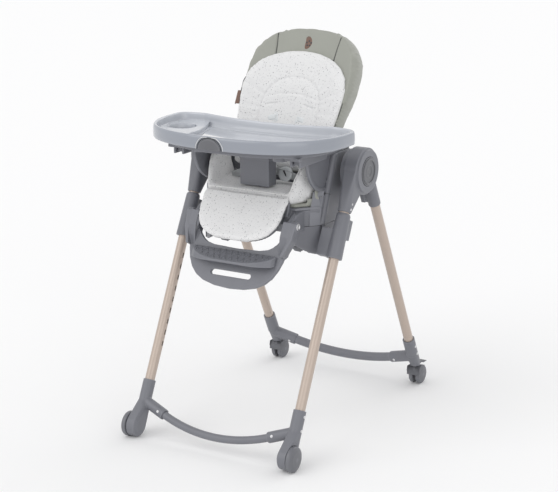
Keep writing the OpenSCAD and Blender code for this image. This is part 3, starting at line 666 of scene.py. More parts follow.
def make_back_inlay():
    """The quilted inlay: gathers radiate from the seam round the head panel."""
    piece = copy_node("back_inlay", "back_inlay_pad")
    inflate(piece, 0.005, 4.0, 0.006)
    reshape_back(piece, INLAY_EDGE)
    set_coordinates(piece.data, coordinates(piece.data) - np.array((0.0035, 0, 0)))
    subdivide(piece, 2)
    co, n = coordinates(piece.data), normals(piece.data)
    x, _, v = BACK.into(co).T
    front = np.clip((n @ -np.array([0, BACK.c, -BACK.s])) * 2, 0, 1)
    oval = oval_distance(x, v, **OVAL)
    angle = np.arctan2(v - OVAL["centre"], x)
    ripple = 0.55 * np.sin(angle * 31) + 0.45 * np.sin(angle * 47 + 1.3) + 0.5 * np.sin(angle * 19 + 0.7)
    outside = np.clip(oval / 0.004, 0, 1) * np.exp(-np.clip(oval, 0, 1) / 0.034)
    move = -0.0024 * groove(oval, 0.0035) - 0.0009 * outside * ripple
    move += 0.0028 * np.clip(-oval / 0.02, 0, 1)
    crease = [(-0.075, 0.226), (-0.04, 0.236), (0, 0.240), (0.04, 0.236), (0.075, 0.226)]
    arc = polyline_distance(x, v, crease)
    move -= 0.0013 * groove(arc, 0.0035)
    edge_fold = np.sin(v * 210 + 2.2 * np.sin(x * 40)) * np.clip((np.abs(x) / 0.16 - 0.62) / 0.3, 0, 1)
    move += 0.0005 * edge_fold
    for s in (-1, 1):
        slot = polyline_distance(s * x, v, [SLOT_IN, SLOT_OUT])
        move -= 0.0030 * groove(slot, 0.0028)
    set_coordinates(piece.data, co + n * (move * front)[:, None])
    dress(piece, "inlay", "backrest", "back_inlay")


def make_back_cover():
    piece = copy_node("back_cover", "back_cover_pad")
    inflate(piece, 0.005, 3.0, 0.004)
    near = reshape_back(piece, COVER_EDGE)
    x, n, v = BACK.into(coordinates(piece.data)).T
    behind = np.clip((n - back_surface(x, -0.044)) / 0.016, 0, 1)
    behind = behind * ease(near, 0.74, 0.95) * ease(v, 0.10, 0.17)
    narrower = 1 - 0.07 * behind * ease(np.abs(x), 0.06, 0.14)
    set_coordinates(piece.data, BACK.out(x * narrower, n + 0.050 * behind, v))
    relax(piece, 3)
    subdivide(piece, 2)
    co, n = coordinates(piece.data), normals(piece.data)
    x, _, v = BACK.into(co).T
    seam = np.minimum(*(polyline_distance(s * x, v, COVER_SEAM) for s in (-1, 1)))
    move = -0.0026 * groove(seam, 0.0026)
    move += 0.0006 * np.sin(x * 90 + 1.5 * np.sin(v * 60)) * np.clip((v - 0.33) / 0.06, 0, 1)
    set_coordinates(piece.data, co + n * move[:, None])
    dress(piece, "leatherette", "backrest", "back_cover")


def make_seat_cover():
    piece = copy_node("seat_cover", "seat_cover_pad")
    inflate(piece, 0.0035, 2.0, 0.0015)
    subdivide(piece, 1)
    dress(piece, "leatherette", "seat", "seat_cover")


SEAT_TOP = 0.668
FOLD_Y, FOLD_Z = -0.1814, 0.6688
SEAT_DEPTHS = [-0.181, -0.168, -0.135, -0.101, -0.03]  # where the seat's widths are given, front to back


def wing_height(y):
    """Height of the inlay's side wings above the seat, from the front fold to the back."""
    depths = [-0.181, -0.172, -0.158, -0.140, -0.118, -0.030]
    return np.interp(y, depths, [0.0, 0.014, 0.042, 0.066, 0.082, 0.086])


def seat_section(y):
    """The U-shaped section of the seat inlay at one depth, as a closed ring of (x, z)."""
    h = float(wing_height(y))

    def at(*widths):
        return float(np.interp(y, SEAT_DEPTHS, widths))
    out_low, out_top = at(0.126, 0.131, 0.146, 0.1575, 0.158), at(0.127, 0.132, 0.144, 0.152, 0.155)
    in_low, in_top = at(0.118, 0.121, 0.124, 0.1255, 0.126), at(0.121, 0.124, 0.131, 0.136, 0.139)
    low = float(np.interp(y, [-0.181, -0.168, -0.03], [0.652, 0.6425, 0.6425]))
    half = [(0.0, SEAT_TOP + 0.001), (in_low * 0.6, SEAT_TOP), (in_low, SEAT_TOP + 0.002),
            (in_top, SEAT_TOP + h * 0.55 + 0.001),
            (in_top + 0.004, SEAT_TOP + h), (out_top, SEAT_TOP + h), (out_low, SEAT_TOP + h * 0.35 - 0.002),
            (out_low, low + 0.006), (out_low - 0.006, low), (0.06, low)]
    return half + [(0.0, low)] + [(-x, z) for x, z in reversed(half[1:])]


def loft(name, sections, places):
    """A closed mesh through rings of (x, z) at each y."""
    vertices, faces = [], []
    size = len(sections[0])
    for ring, y in zip(sections, places):
        vertices += [(x, y, z) for x, z in ring]
    for i in range(len(sections) - 1):
        for k in range(size):
            m = (k + 1) % size
            faces.append((i * size + k, (i + 1) * size + k, (i + 1) * size + m, i * size + m))
    faces.append(tuple(range(size)))
    faces.append(tuple(reversed(range((len(sections) - 1) * size, len(sections) * size))))
    return mesh_from(name, vertices, faces)


def calf_outline(half_w, top, bottom, steps=28):
    """Outline of the calf pad as (x, v), round at its lower corners."""
    depth = bottom - 0.045 + top
    arc = []
    for i in range(steps + 1):
        a = -math.pi * i / steps
        x = half_w * math.copysign(abs(math.cos(a)) ** (2 / 2.6), math.cos(a))
        z = -depth * abs(math.sin(a)) ** (2 / 2.6)
        arc.append((x, top - 0.045 + z))
    return [(-half_w + 0.003, top), (half_w - 0.003, top),
            (half_w, top - 0.014)] + arc + [(-half_w, top - 0.014)]


def slab(name, outline, place, y0, y1):
    """A closed slab between two planes of a tilted frame, from an outline of (x, z)."""
    size = len(outline)
    vertices = [place.out(x, y, z) for y in (y0, y1) for x, z in outline]
    mesh = mesh_from(name, vertices, row_faces(2, size) + end_faces(2, size))
    face_outward(mesh)
    return mesh


PAD_SHIFT = 0.003  # the loose inlay sits a little to the left


def make_seat_inlay():
    """Seat and calf pads of the speckled inlay: one fabric that bends over the calf rest's hinge."""
    stations = [-0.1795, -0.176, -0.170, -0.160, -0.150, -0.140, -0.125, -0.110, -0.090, -0.070, -0.050,
                -0.034]
    seat = add_object("seat_part", loft("seat_part", [seat_section(y) for y in stations], stations), "inlay")
    inflate(seat, 0.004, 3.0, 0.0035)
    subdivide(seat, 1)
    co, n = coordinates(seat.data), normals(seat.data)
    x, y, z = co.T
    move = 0.0008 * np.sin(x * 110 + 2 * np.sin(y * 60)) * np.clip((y + 0.15) / 0.05, 0, 1)
    corner = np.abs(np.abs(x) - 0.122) + np.clip(SEAT_TOP - z, 0, 1)
    move -= 0.0016 * groove(corner, 0.004) * (n[:, 2] > 0.1)
    set_coordinates(seat.data, co + n * move[:, None])

    calf_mesh = slab("calf_part", calf_outline(0.1295, 0.008, 0.1355), CALF, -0.0155, -0.0065)
    calf = add_object("calf_part", calf_mesh, "inlay")
    inflate(calf, 0.004, 3.0, 0.004)
    subdivide(calf, 1)
    co, n = coordinates(calf.data), normals(calf.data)
    x, _, v = CALF.into(co).T
    swell = 0.0014 * np.cos(np.clip(x / 0.13, -1, 1) * math.pi / 2) * np.clip(-v / 0.05, 0, 1)
    swell += 0.0006 * np.sin(x * 75 + 1.4) * np.sin(v * 60)
    set_coordinates(calf.data, co + n * (swell * (n[:, 1] < -0.2))[:, None])

    for part in (seat, calf):
        set_coordinates(part.data, coordinates(part.data) - np.array((PAD_SHIFT, 0, 0)))
        part.data.materials.clear()
    piece = join("seat_calf_inlay", [take_mesh(seat), take_mesh(calf)], "inlay")
    smooth(piece.data)
    finish_piece(piece, None, "inlay", "seat_inlay", "calf_pad")
    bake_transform(piece)


def make_inlay_trims():
    """Piping along the inlay's sewn edges."""
    for name, s in SIDES:
        rise = []
        for y in np.linspace(-0.1785, -0.06, 30):
            x = s * float(np.interp(y, SEAT_DEPTHS, [0.1255, 0.129, 0.139, 0.146, 0.149]))
            rise.append((x - PAD_SHIFT, y - 0.001, SEAT_TOP + float(wing_height(y)) + 0.002))
        tube(f"wing_piping_{name}", resample(rise, 0.003), 0.0012, "thread_and_highlight", "seat", slot="inlay")
    fold = [(x - PAD_SHIFT, FOLD_Y - 0.0008, FOLD_Z + 0.0012 - 0.002 * (abs(x) / 0.124) ** 4)
            for x in np.linspace(-0.122, 0.122, 50)]
    tube("fold_piping", fold, 0.0009, "thread_and_highlight", "seat", slot="inlay")


# ---------- harness ----------

def ribbon(name, centre, across, width, thickness, material, body, slot=None):
    """A flat strap: centre points, a unit vector across it at each, and its thickness on both sides."""
    centre = np.asarray(centre, float)
    along = np.gradient(centre, axis=0)
    along /= np.linalg.norm(along, axis=1, keepdims=True)
    across = np.broadcast_to(np.asarray(across, float), centre.shape)
    normal = np.cross(across, along)
    normal /= np.linalg.norm(normal, axis=1, keepdims=True)
    corners = [(-1, -0.7), (-0.94, -1), (0, -1), (0.94, -1), (1, -0.7), (1, 0.7), (0.94, 1), (0, 1),
               (-0.94, 1), (-1, 0.7)]
    rows, size = len(centre), len(corners)
    vertices = [p + a * (u * width / 2) + n * (w * thickness / 2)
                for p, a, n in zip(centre, across, normal) for u, w in corners]
    mesh = mesh_from(name, vertices, row_faces(rows, size) + end_faces(rows, size))
    face_outward(mesh)
    smooth(mesh)
    return add_object(name, mesh, material, body, slot)


STRAP_TOP = (0.0575, 0.206)
STRAP_LEAN = math.radians(15)


def make_shoulder_straps():
    replaced = ["shoulder_straps"]
    for name, s in SIDES:
        length = np.linspace(-0.004, 0.150, 60)
        x = s * (STRAP_TOP[0] - np.sin(STRAP_LEAN) * length)
        v = STRAP_TOP[1] - np.cos(STRAP_LEAN) * length
        lift = np.interp(length, [-0.004, 0.004, 0.02, 0.15], [-0.058, -0.0635, -0.0662, -0.0668])
        centre = BACK.out(x, lift - 0.002 * (np.abs(x) / 0.07) ** 2 - 0.001, v)
        lean = BACK.out(s * math.cos(STRAP_LEAN), 0, -math.sin(STRAP_LEAN)) - BACK.origin
        strap = ribbon(f"shoulder_strap_{name}", centre, lean, 0.028, 0.0022, "webbing", "backrest")
        if replaced:
            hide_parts(*replaced)
            replaced = []


def make_adjusters():
    """Ladder-lock buckles on the shoulder straps: a frame, two bars and a thumb pad."""
    for name, s in SIDES:
        def place(u, w, depth):
            """u across the strap, w down from the slot along it, depth towards the child."""
            x = s * (STRAP_TOP[0] - math.sin(STRAP_LEAN) * w + math.cos(STRAP_LEAN) * u)
            v = STRAP_TOP[1] - math.cos(STRAP_LEAN) * w - math.sin(STRAP_LEAN) * u
            return BACK.out(x, -0.0672 - depth, v)
        corner, ring = 0.004, []
        half, top, bottom = 0.0165, 0.029, 0.054
        for cx, cw, start in ((half - corner, top + corner, -90), (half - corner, bottom - corner, 0),
                              (-half + corner, bottom - corner, 90), (-half + corner, top + corner, 180)):
            for k in range(7):
                a = math.radians(start + 15 * k)
                ring.append(place(cx + corner * math.cos(a), cw + corner * math.sin(a), 0.0005))
        parts = []
        for label, points, radius, closed in (
            ("rim", ring, 0.0026, True),
            ("bar_a", [place(u, 0.0375, 0.0015) for u in np.linspace(-0.015, 0.015, 8)], 0.0024, False),
            ("bar_b", [place(u, 0.0490, 0.0010) for u in np.linspace(-0.015, 0.015, 8)], 0.0022, False),
        ):
            parts.append(take_mesh(tube("part_" + label, points, radius, "clip", None, closed)))
        pad_points = [(-0.011, 0.0335), (0.011, 0.0335), (0.013, 0.037), (0.013, 0.0455), (0.009, 0.0485),
                      (-0.009, 0.0485),
                      (-0.013, 0.0455), (-0.013, 0.037)]
        size = len(pad_points)
        rows = [(1.0, 0.0005), (1.0, 0.0028), (0.86, 0.0042), (0.5, 0.0048)]
        centre_w = 0.041
        vertices = [place(u * k, centre_w + (w - centre_w) * k, d) for k, d in rows for u, w in pad_points]
        faces = row_faces(len(rows), size) + end_faces(len(rows), size)
        parts.append(mesh_from("part_pad", vertices, faces))
        node = f"strap_adjuster_{name}"
        piece = join(f"strap_buckle_{name}", parts, "clip", f"adjuster_{name}", "clip", [node])
        face_outward(piece.data)
        smooth(piece.data)


def make_slots():
    """Stitched strap slots, each with a dark line of painted shade in its mouth."""
    for name, s in SIDES:
        mid_x, mid_v = 0.5 * (SLOT_IN[0] + SLOT_OUT[0]), 0.5 * (SLOT_IN[1] + SLOT_OUT[1])
        reach = 0.5 * math.hypot(SLOT_OUT[0] - SLOT_IN[0], SLOT_OUT[1] - SLOT_IN[1]) + 0.002
        tilt = math.atan2(SLOT_OUT[1] - SLOT_IN[1], SLOT_OUT[0] - SLOT_IN[0])

        def at(u, w, depth):
            x = mid_x + math.cos(tilt) * u - math.sin(tilt) * w
            v = mid_v + math.sin(tilt) * u + math.cos(tilt) * w
            return BACK.out(s * x, back_surface(x, -0.0635) - depth, v)
        # The mouth line is painted shade inside the slot.
        mouth = [at(u, 0, -0.0010) for u in np.linspace(-reach, reach, 16)]
        tube(f"slot_mouth_{name}", mouth, 0.0014, "shadow", "backrest", slot="inlay")
        loop = [at((reach + 0.002) * math.cos(a), 0.0042 * math.sin(a), 0.0002)
                for a in np.linspace(0, 2 * math.pi, 40)[:-1]]
        tube(f"slot_stitch_{name}", loop, 0.0007, "thread_and_highlight", "backrest", closed=True, slot="inlay", sides=6)


def make_buckle():
    centre = Vector((0, -0.074, 0.706))
    axis = Vector((0, -math.cos(math.radians(20)), math.sin(math.radians(20))))
    profile = [(0.0, -0.0068), (0.018, -0.0068), (0.0215, -0.0055), (0.0228, -0.002), (0.0228, 0.002),
               (0.0215, 0.0052),
               (0.0190, 0.0066), (0.0105, 0.0070), (0.0098, 0.0064), (0.0096, -0.0005), (0.0, -0.0005)]
    body = lathe(profile, centre, axis, "buckle_disc")
    piece = add_object("harness_buckle", body, "clip", "seat")
    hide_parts("buckle")
    press = lathe([(0.0, 0.0040), (0.0070, 0.0040), (0.0084, 0.0052), (0.0084, 0.0068), (0.0072, 0.0076),
                   (0.0, 0.0078)],
                  centre, axis, "buckle_press")
    press = add_object("harness_press", press, "button", "harness_button")
    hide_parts("buckle_button")
    for name, s in SIDES:
        t = np.linspace(0, 1, 36)
        x = s * (0.018 + 0.104 * t)
        y = -0.074 + 0.008 * np.sin(t * math.pi / 2)
        z = 0.704 - 0.030 * t + 0.004 * np.sin(t * math.pi)
        path = np.stack([x, y, z], -1)
        ribbon(f"waist_strap_{name}", path, (0, -0.35, 0.94), 0.024, 0.0022, "webbing", "seat")
    disc_axis = Vector((0.10, -0.93, 0.35))
    disc_centre = Vector((0.050, -0.073, 0.698))
    disc = lathe([(0.0, -0.003), (0.0185, -0.003), (0.0202, -0.0015), (0.0202, 0.0015), (0.0185, 0.0034),
                  (0.0120, 0.0040),
                  (0.0, 0.0040)], disc_centre, disc_axis, "connector")
    add_object("strap_connector", disc, "clip", "seat", "clip")
    # Painted shade: a dark line in the connector's slot.
    mouth = [disc_centre + disc_axis * 0.0042 + Vector((0.55 * k, 0, -k)) for k in np.linspace(-0.008, 0.008,
                                                                                               8)]
    tube("connector_slot", mouth, 0.0022, "shadow", "seat", slot="clip")
    t = np.linspace(0, 1, 20)
    crotch = np.stack([0 * t, -0.0725 + 0.004 * t, 0.668 + 0.026 * t], -1)
    strap = ribbon("crotch_webbing", crotch, (1, 0, 0), 0.028, 0.0024, "webbing", "seat")
    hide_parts("crotch_strap")


# ---------- back details ----------

def make_back_details():
    for name, s in SIDES:
        # Painted shade: a dark line in each seam's groove on the cover.
        points = [BACK.out(s * x, back_surface(x, -0.0455) - 0.0001, v) for x, v in COVER_SEAM]
        tube(f"cover_seam_{name}", resample(points, 0.004), 0.0011, "shadow", "backrest", slot="leatherette",
             sides=8)
    place = (0.0, 0.391)
    centre = Vector(BACK.out(place[0], -0.0462, place[1]))
    axis = Vector(BACK.out(0, -1, 0) - BACK.origin)
    badge = lathe([(0.0, -0.003), (0.0232, -0.003), (0.0238, -0.0004), (0.0228, 0.0012), (0.0205, 0.0015),
                   (0.0198, 0.0009),
                   (0.0190, 0.0015), (0.0, 0.0018)], centre, axis, "badge", 96)
    add_object("badge_disc", badge, "brown", "backrest", "leatherette")
    side, up = Vector((1, 0, 0)), Vector(BACK.out(0, 0, 1) - BACK.origin)
    emblem = []
    for k in range(5):
        a = 2 * math.pi * k / 5 + 0.3
        c = centre + axis * 0.0017 + side * 0.0068 * math.cos(a) + up * 0.0068 * math.sin(a)
        emblem.append(lathe([(0.0, 0.0), (0.0026, 0.0), (0.0022, 0.0006), (0.0, 0.0007)], c, axis, "dot", 20))
    join("badge_dots", emblem, "shadow", "backrest", "leatherette")
    stitches = []
    for k in range(44):
        a = 2 * math.pi * k / 44
        c = centre + axis * 0.0011
        p = [c + side * 0.0198 * math.cos(a + d) + up * 0.0198 * math.sin(a + d)
             for d in (-0.045, 0.0, 0.045)]
        stitches.append(take_mesh(tube("stitch", p, 0.00045, "shadow", None, sides=6)))
    join("badge_stitches", stitches, "shadow", "backrest", "leatherette")
    tab = [BACK.out(x, n, v) for x, n, v in
           ((-0.152, -0.064, 0.215), (-0.164, -0.067, 0.215), (-0.174, -0.066, 0.215),
            (-0.1785, -0.058, 0.215))]
    up_back = BACK.out(0, 0, 1) - BACK.origin
    ribbon("side_tab", resample(tab, 0.002), up_back, 0.038, 0.003, "brown", "backrest", "leatherette")
    # Painted shade: a dark line along the gap between the inlay's edge and the cover.
    half = [(a, b) for a, b in INLAY_EDGE[4:]]
    whole = [(a - 0.0035, b) for a, b in half + [(-a, b) for a, b in reversed(half[:-1])]]
    points = [BACK.out(x * 1.008, back_surface(x, -0.0465), BACK_CENTRE + (v - BACK_CENTRE) * 1.006)
              for x, v, _ in resample([(a, b, 0.0) for a, b in whole], 0.004)]
    tube("inlay_edge_gap_shade", points, 0.0012, "shadow", "backrest", slot="leatherette", sides=8)


# ---------- tray ----------

TRAY_HALF_W, TRAY_MID, TRAY_BACK, TRAY_FRONT, SKIRT_Z = 0.275, -0.137, -0.069, -0.356, 0.806
TRAY_HOLLOW, TRAY_HOLLOW_AT = 0.036, 0.198
FRONT_POWER, BACK_POWER = 2.5, 4.8
FLOOR_Z, STEP_Z = 0.808, 0.822
CUP = (-0.205, -0.182, 0.036)


def power_of(value, power):
    return math.copysign(abs(value) ** (2 / power), value)


def tray_outline(d, front_steps=96, back_steps=80):
    """Outline of the tray, d inside its edge: a rounded front half and a squarer, hollowed back half."""
    points = []
    for i in range(front_steps + 1):
        a = math.pi + math.pi * i / front_steps
        points.append(((TRAY_HALF_W - d) * power_of(math.cos(a), FRONT_POWER),
                       TRAY_MID + (TRAY_MID - TRAY_FRONT - d) * power_of(math.sin(a), FRONT_POWER)))
    for i in range(1, back_steps):
        a = math.pi * i / back_steps
        x = (TRAY_HALF_W - d) * power_of(math.cos(a), BACK_POWER)
        points.append((x, TRAY_MID + (TRAY_BACK - TRAY_MID - d) * power_of(math.sin(a), BACK_POWER)
                       - TRAY_HOLLOW * max(0.0, 1 - (x / TRAY_HOLLOW_AT) ** 2)))
    return points


def step_x(y):
    """Right-hand edge of the raised corner round the cup recess."""
    return float(np.interp(y, [-0.40, -0.20, -0.15, -0.04], [-0.136, -0.136, -0.152, -0.186]))


def swept_rim(name, profile):
    """Rings of the tray outline, one for each (inset, height) of the profile, joined into a closed band."""
    vertices = [(x, y, z) for d, z in profile for x, y in tray_outline(d)]
    return mesh_from(name, vertices, row_faces(len(profile), len(tray_outline(0)), closed=True))


def plate(name, outer, holes, z0, z1):
    """A flat plate with holes, from outlines of (x, y)."""
    bm = bmesh.new()
    for z in (z0, z1):
        edges = []
        for loop in [outer, *holes]:
            ring = [bm.verts.new((x, y, z)) for x, y in loop]
            edges += [bm.edges.new((ring[k], ring[(k + 1) % len(ring)])) for k in range(len(ring))]
        bmesh.ops.triangle_fill(bm, use_beauty=True, edges=edges, normal=(0, 0, 1 if z == z1 else -1))
    bm.verts.ensure_lookup_table()
    start = 0
    count = sum(len(l) for l in [outer, *holes])
    for loop in [outer, *holes]:
        size = len(loop)
        for k in range(size):
            a, b = start + k, start + (k + 1) % size
            bm.faces.new([bm.verts[i] for i in (a, b, b + count, a + count)])
        start += size
    bmesh.ops.recalc_face_normals(bm, faces=bm.faces)
    mesh = bpy.data.meshes.new(name)
    bm.to_mesh(mesh)
    bm.free()
    return mesh


def window_outline(inset):
    """The clear panel: it follows the tray's edge and the raised corner."""
    gap = 0.008 + inset
    points = [(x, y) for x, y in tray_outline(0.030 + inset) if step_x(y) + gap < x < 0.228 - inset]
    return points + [(step_x(-0.15) + gap, -0.15), (step_x(-0.20) + gap, -0.20)]


def step_outline(inset):
    """The raised corner that holds the cup recess."""
    ring = tray_outline(0.0100 + inset)
    half = len(ring) // 2
    front = [(x, y) for x, y in ring[:half] if x < step_x(y) - inset]
    back = [(x, y) for x, y in ring[half:] if x < step_x(y) - inset]
    return back + front + [(step_x(-0.20) - inset, -0.20), (step_x(-0.15) - inset, -0.15)]


def circle(centre, radius, steps=72):
    turns = [2 * math.pi * k / steps for k in range(steps)]
    return [(centre[0] + radius * math.cos(a), centre[1] + radius * math.sin(a)) for a in turns]


def make_tray_insert():
    profile = [(0.0050, 0.8065), (0.0012, 0.8065), (0.0003, 0.8095), (0.0, 0.818), (0.0004, 0.831),
               (0.0016, 0.8373),
               (0.0040, 0.8407), (0.0065, 0.8410), (0.0088, 0.8396), (0.0103, 0.8360), (0.0112, 0.8270),
               (0.0132, 0.8170),
               (0.0175, 0.8130), (0.0240, 0.8120), (0.0240, 0.8080), (0.0060, 0.8080)]
    band = swept_rim("tray_band", profile)
    holes = [circle(CUP, CUP[2] + 0.001), window_outline(0)]
    floor = plate("tray_floor", tray_outline(0.0235), holes, FLOOR_Z, FLOOR_Z + 0.004)
    bevels = [(0.0, 0.8110), (0.0, 0.8200), (0.0006, 0.8212), (0.0018, STEP_Z)]
    rings = [step_outline(inset) for inset, _ in bevels]
    size = 160
    rings = [even_ring(ring, size) for ring in rings]
    vertices = [(x, y, z) for ring, (_, z) in zip(rings, bevels) for x, y in ring]
    step_wall = mesh_from("step_wall", vertices, row_faces(len(bevels), size))
    step_top = plate("step_top", rings[-1], [circle(CUP, CUP[2] + 0.0012)], STEP_Z - 0.002, STEP_Z)
    cup = lathe([(0.0368, 0.0150), (0.0380, 0.0165), (0.0396, 0.0163), (0.0402, 0.0140), (0.0392, 0.0085),
                 (0.0390, -0.010),
                 (0.0360, -0.0138), (0.0, -0.0140), (0.0, -0.0110), (0.0335, -0.0108), (0.0352, -0.0090),
                 (0.0362, -0.002)],
                (CUP[0], CUP[1], SKIRT_Z), (0, 0, 1), "cup_well")
    for m in (band, cup, step_wall):
        smooth(m)
    parts = [band, floor, cup, step_wall, step_top]
    piece = join("tray_insert_shell", parts, "tray", "tray_top", "tray", ["tray_insert"])
    piece.data.materials.append(MATERIALS["tray_inside"])
    for face in piece.data.polygons:
        outward = face.normal.x * face.center.x + face.normal.y * (face.center.y - TRAY_MID)
        away = math.hypot(face.center.x, face.center.y - TRAY_MID)
        if face.center.z > FLOOR_Z and outward < 0.5 * away and face.normal.z > -0.3:
            face.material_index = 1
    panel = plate("panel", window_outline(0.0004), [], FLOOR_Z + 0.0008, FLOOR_Z + 0.0036)
    panel = add_object("tray_panel", panel, "clear", "tray_top")
    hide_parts("tray_window")
    return piece


def even_ring(points, count):
    """A closed outline with count points spaced evenly round it."""
    p = np.asarray(list(points) + [points[0]], float)
    total = np.concatenate([[0], np.cumsum(np.linalg.norm(np.diff(p, axis=0), axis=1))])
    at = np.linspace(0, total[-1], count, endpoint=False)
    return [(float(np.interp(t, total, p[:, 0])), float(np.interp(t, total, p[:, 1]))) for t in at]


RELEASE_AT = -0.010
RELEASE_HALF_W, RELEASE_HEIGHT = 0.0345, 0.0290


def make_tray_release():
    """Half-round button in the front wall, with a line of painted shade and a line of painted highlight round
    it.
    """
    vertices, faces = [], []
    rows, columns = 12, 28
    for i in range(rows + 1):
        r = i / rows
        for k in range(columns + 1):
            a = math.pi * k / columns
            x = RELEASE_AT + RELEASE_HALF_W * r * math.cos(a)
            z = 0.8068 + RELEASE_HEIGHT * r * math.sin(a)
            bulge = 0.0030 * math.sqrt(max(0.0, 1 - r ** 3)) + 0.0004
            wall = tray_wall_y(x)
            vertices.append((x, wall - bulge, z))
    for i in range(rows):
        for k in range(columns):
            a = i * (columns + 1) + k
            faces.append((a, a + 1, a + columns + 2, a + columns + 1))
    mesh = mesh_from("release", vertices, faces)
    bm = bmesh.new()
    bm.from_mesh(mesh)
    bmesh.ops.remove_doubles(bm, verts=bm.verts, dist=1e-6)
    bmesh.ops.recalc_face_normals(bm, faces=bm.faces)
    bmesh.ops.solidify(bm, geom=bm.faces, thickness=0.004)
    bmesh.ops.recalc_face_normals(bm, faces=bm.faces)
    bm.to_mesh(mesh)
    bm.free()
    smooth(mesh)
    button = add_object("tray_release_button", mesh, "button", "tray_catch")
    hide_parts("tray_release")
    # The outer pale line is a painted highlight on the notch's edge; the inner dark line is painted shade in
    # the gap round the button.
    outlines = (("outer", 0.0068, 0.0006, "thread_and_highlight"), ("inner", 0.0022, 0.0012, "shadow"))
    for name, grow, radius, material in outlines:
        arc = []
        for k in range(41):
            a = math.pi * k / 40
            x = RELEASE_AT + (RELEASE_HALF_W + grow) * math.cos(a)
            z = 0.8070 + (RELEASE_HEIGHT + grow) * math.sin(a)
            arc.append((x, tray_wall_y(x) - 0.0002, min(z, 0.8385)))
        tube(f"release_painted_line_{name}", arc, radius, material, "tray_top", slot="tray", sides=6)


def tray_wall_y(x):
    """Front face of the tray's wall at x."""
    rest = max(0.0, 1 - abs(x / TRAY_HALF_W) ** FRONT_POWER)
    return TRAY_MID - (TRAY_MID - TRAY_FRONT) * rest ** (1 / FRONT_POWER)


# ---------- hard details ----------

def rivet(centre, axis, radius=0.004):
    profile = [(0.0, -0.002), (radius, -0.002), (radius, 0.0004), (radius * 0.8, 0.0012),
               (radius * 0.35, 0.0016),
               (radius * 0.3, 0.0008), (0.0, 0.0008)]
    return lathe(profile, centre, axis, "rivet", 24)


def make_rivets():
    front, rear, seat = [], [], []
    for _, s in SIDES:
        for t in (0.669, 0.706):
            front.append(rivet(FRONT_LEG.out(s * (LEG_X + 0.0168), -0.035, -t), (s, 0, 0)))
        for t in (0.100, 0.115):
            front.append(rivet(FRONT_LEG.out(s * (LEG_X + 0.0178), -0.035, -t), (s, 0, 0), 0.0035))
        for t in (0.672, 0.70):
            rear.append(rivet(REAR_LEG.out(s * (LEG_X + 0.0172), 0.030, -t), (s, 0, 0)))
        for rivets, leg, y, z in ((front, FRONT_LEG, -0.035 - 0.0148, -0.7345),
                                  (rear, REAR_LEG, 0.030 - 0.0163, -0.7270)):
            rivets.append(rivet(leg.out(s * 0.178, y, z), leg.out(0, -1, 0) - leg.origin))
        seat.append(rivet((s * 0.1858, -0.085, 0.566), (s, 0, 0), 0.0045))
    join("front_rivets", front, "steel", "front_frame")
    join("rear_rivets", rear, "steel", "rear_frame")
    join("housing_screws", seat, "steel", "seat")
    bolts = [lathe([(0.0, 0.0), (0.0088, 0.0), (0.0094, 0.0010), (0.0084, 0.0024), (0.0056, 0.0026),
                    (0.0050, 0.0012), (0.0, 0.0012)],
                   FOOT.out(s * 0.1676, 0, 0), (s, 0, 0), "bolt", 36) for _, s in SIDES]
    join("footrest_bolts", bolts, "steel", "foot_rest")


def make_side_ribs():
    """Half-round ribs on the seat's sides, the short walls before them, and lines of painted shade in the
    seams between the shells.
    """
    for name, s in SIDES:
        low, high = Vector((s * 0.1765, -0.104, 0.580)), Vector((s * 0.1765, -0.0378, 0.7635))
        line = [low.lerp(high, t) for t in np.linspace(0, 1, 24)]
        tube(f"side_rib_{name}", line, 0.0105, "shell", "seat", slot="shell", sides=32)
        # The rib seam ring is painted shade in the joint between the upper and lower shells.
        at = low.lerp(high, 0.43)
        along = (high - low).normalized()
        side = along.orthogonal().normalized()
        ring = [at + side * 0.0106 * math.cos(a) + along.cross(side) * 0.0106 * math.sin(a)
                for a in np.linspace(0, 2 * math.pi, 33)[:-1]]
        tube(f"rib_seam_{name}", ring, 0.0006, "shadow", "seat", closed=True, slot="shell", sides=6)
        wall = [(0.1595, -0.1375), (0.1690, -0.1257), (0.1790, -0.1125), (0.1765, -0.1080),
                (0.1665, -0.1215), (0.1575, -0.1345)]
        size = len(wall)
        vertices = [(s * x, y + 0.36 * max(0.0, z - 0.615), z)
                    for z in (0.582, 0.600, 0.630, 0.671) for x, y in wall]
        mesh = mesh_from("corner_wall", vertices, row_faces(4, size) + end_faces(4, size))
        face_outward(mesh)
        add_object(f"corner_wall_{name}", mesh, "shell", "seat", "shell")
        # Painted shade in the seam between the housing and the wall above it.
        seam = [(s * x, y, 0.5813) for x, y in ((0.1225, -0.1868), (0.1360, -0.1685), (0.1502, -0.1463),
                                                (0.1640, -0.1293),
                                                (0.1778, -0.1122))]
        tube(f"housing_seam_{name}", resample(seam, 0.003), 0.0007, "shadow", "seat", slot="shell", sides=6)


def make_tread_ribs():
    """Slanted grip ribs over the footrest's tread."""
    parts = []
    top, low = np.array((-0.003, -0.086)), np.array((-0.038, -0.122))
    run = low - top
    outward = np.array((run[1], -run[0])) / np.linalg.norm(run)
    if outward[0] > 0:
        outward = -outward
    half = 0.118
    for row in (0, 1):
        for k in range(-13, 14):
            x0 = k * 0.0092 + 0.003 * row
            points = []
            for t in np.linspace(0.06 + 0.47 * row, 0.47 + 0.47 * row, 7):
                x = x0 + (0.020, -0.020)[k % 2] * (t - 0.3)
                reach = (0.002 + 0.039 * math.sqrt(max(0.0, 1 - (x / 0.126) ** 2))) / 0.038
                if abs(x) < half and t < reach - 0.06:
                    yz = top + run * t + outward * 0.0002
                    points.append(FOOT.out(x, yz[0], yz[1]))
            if len(points) > 2:
                parts.append(take_mesh(tube("rib", points, 0.0013, "dark", None, sides=6)))
    join("tread_ribs", parts, "shell", "foot_rest")


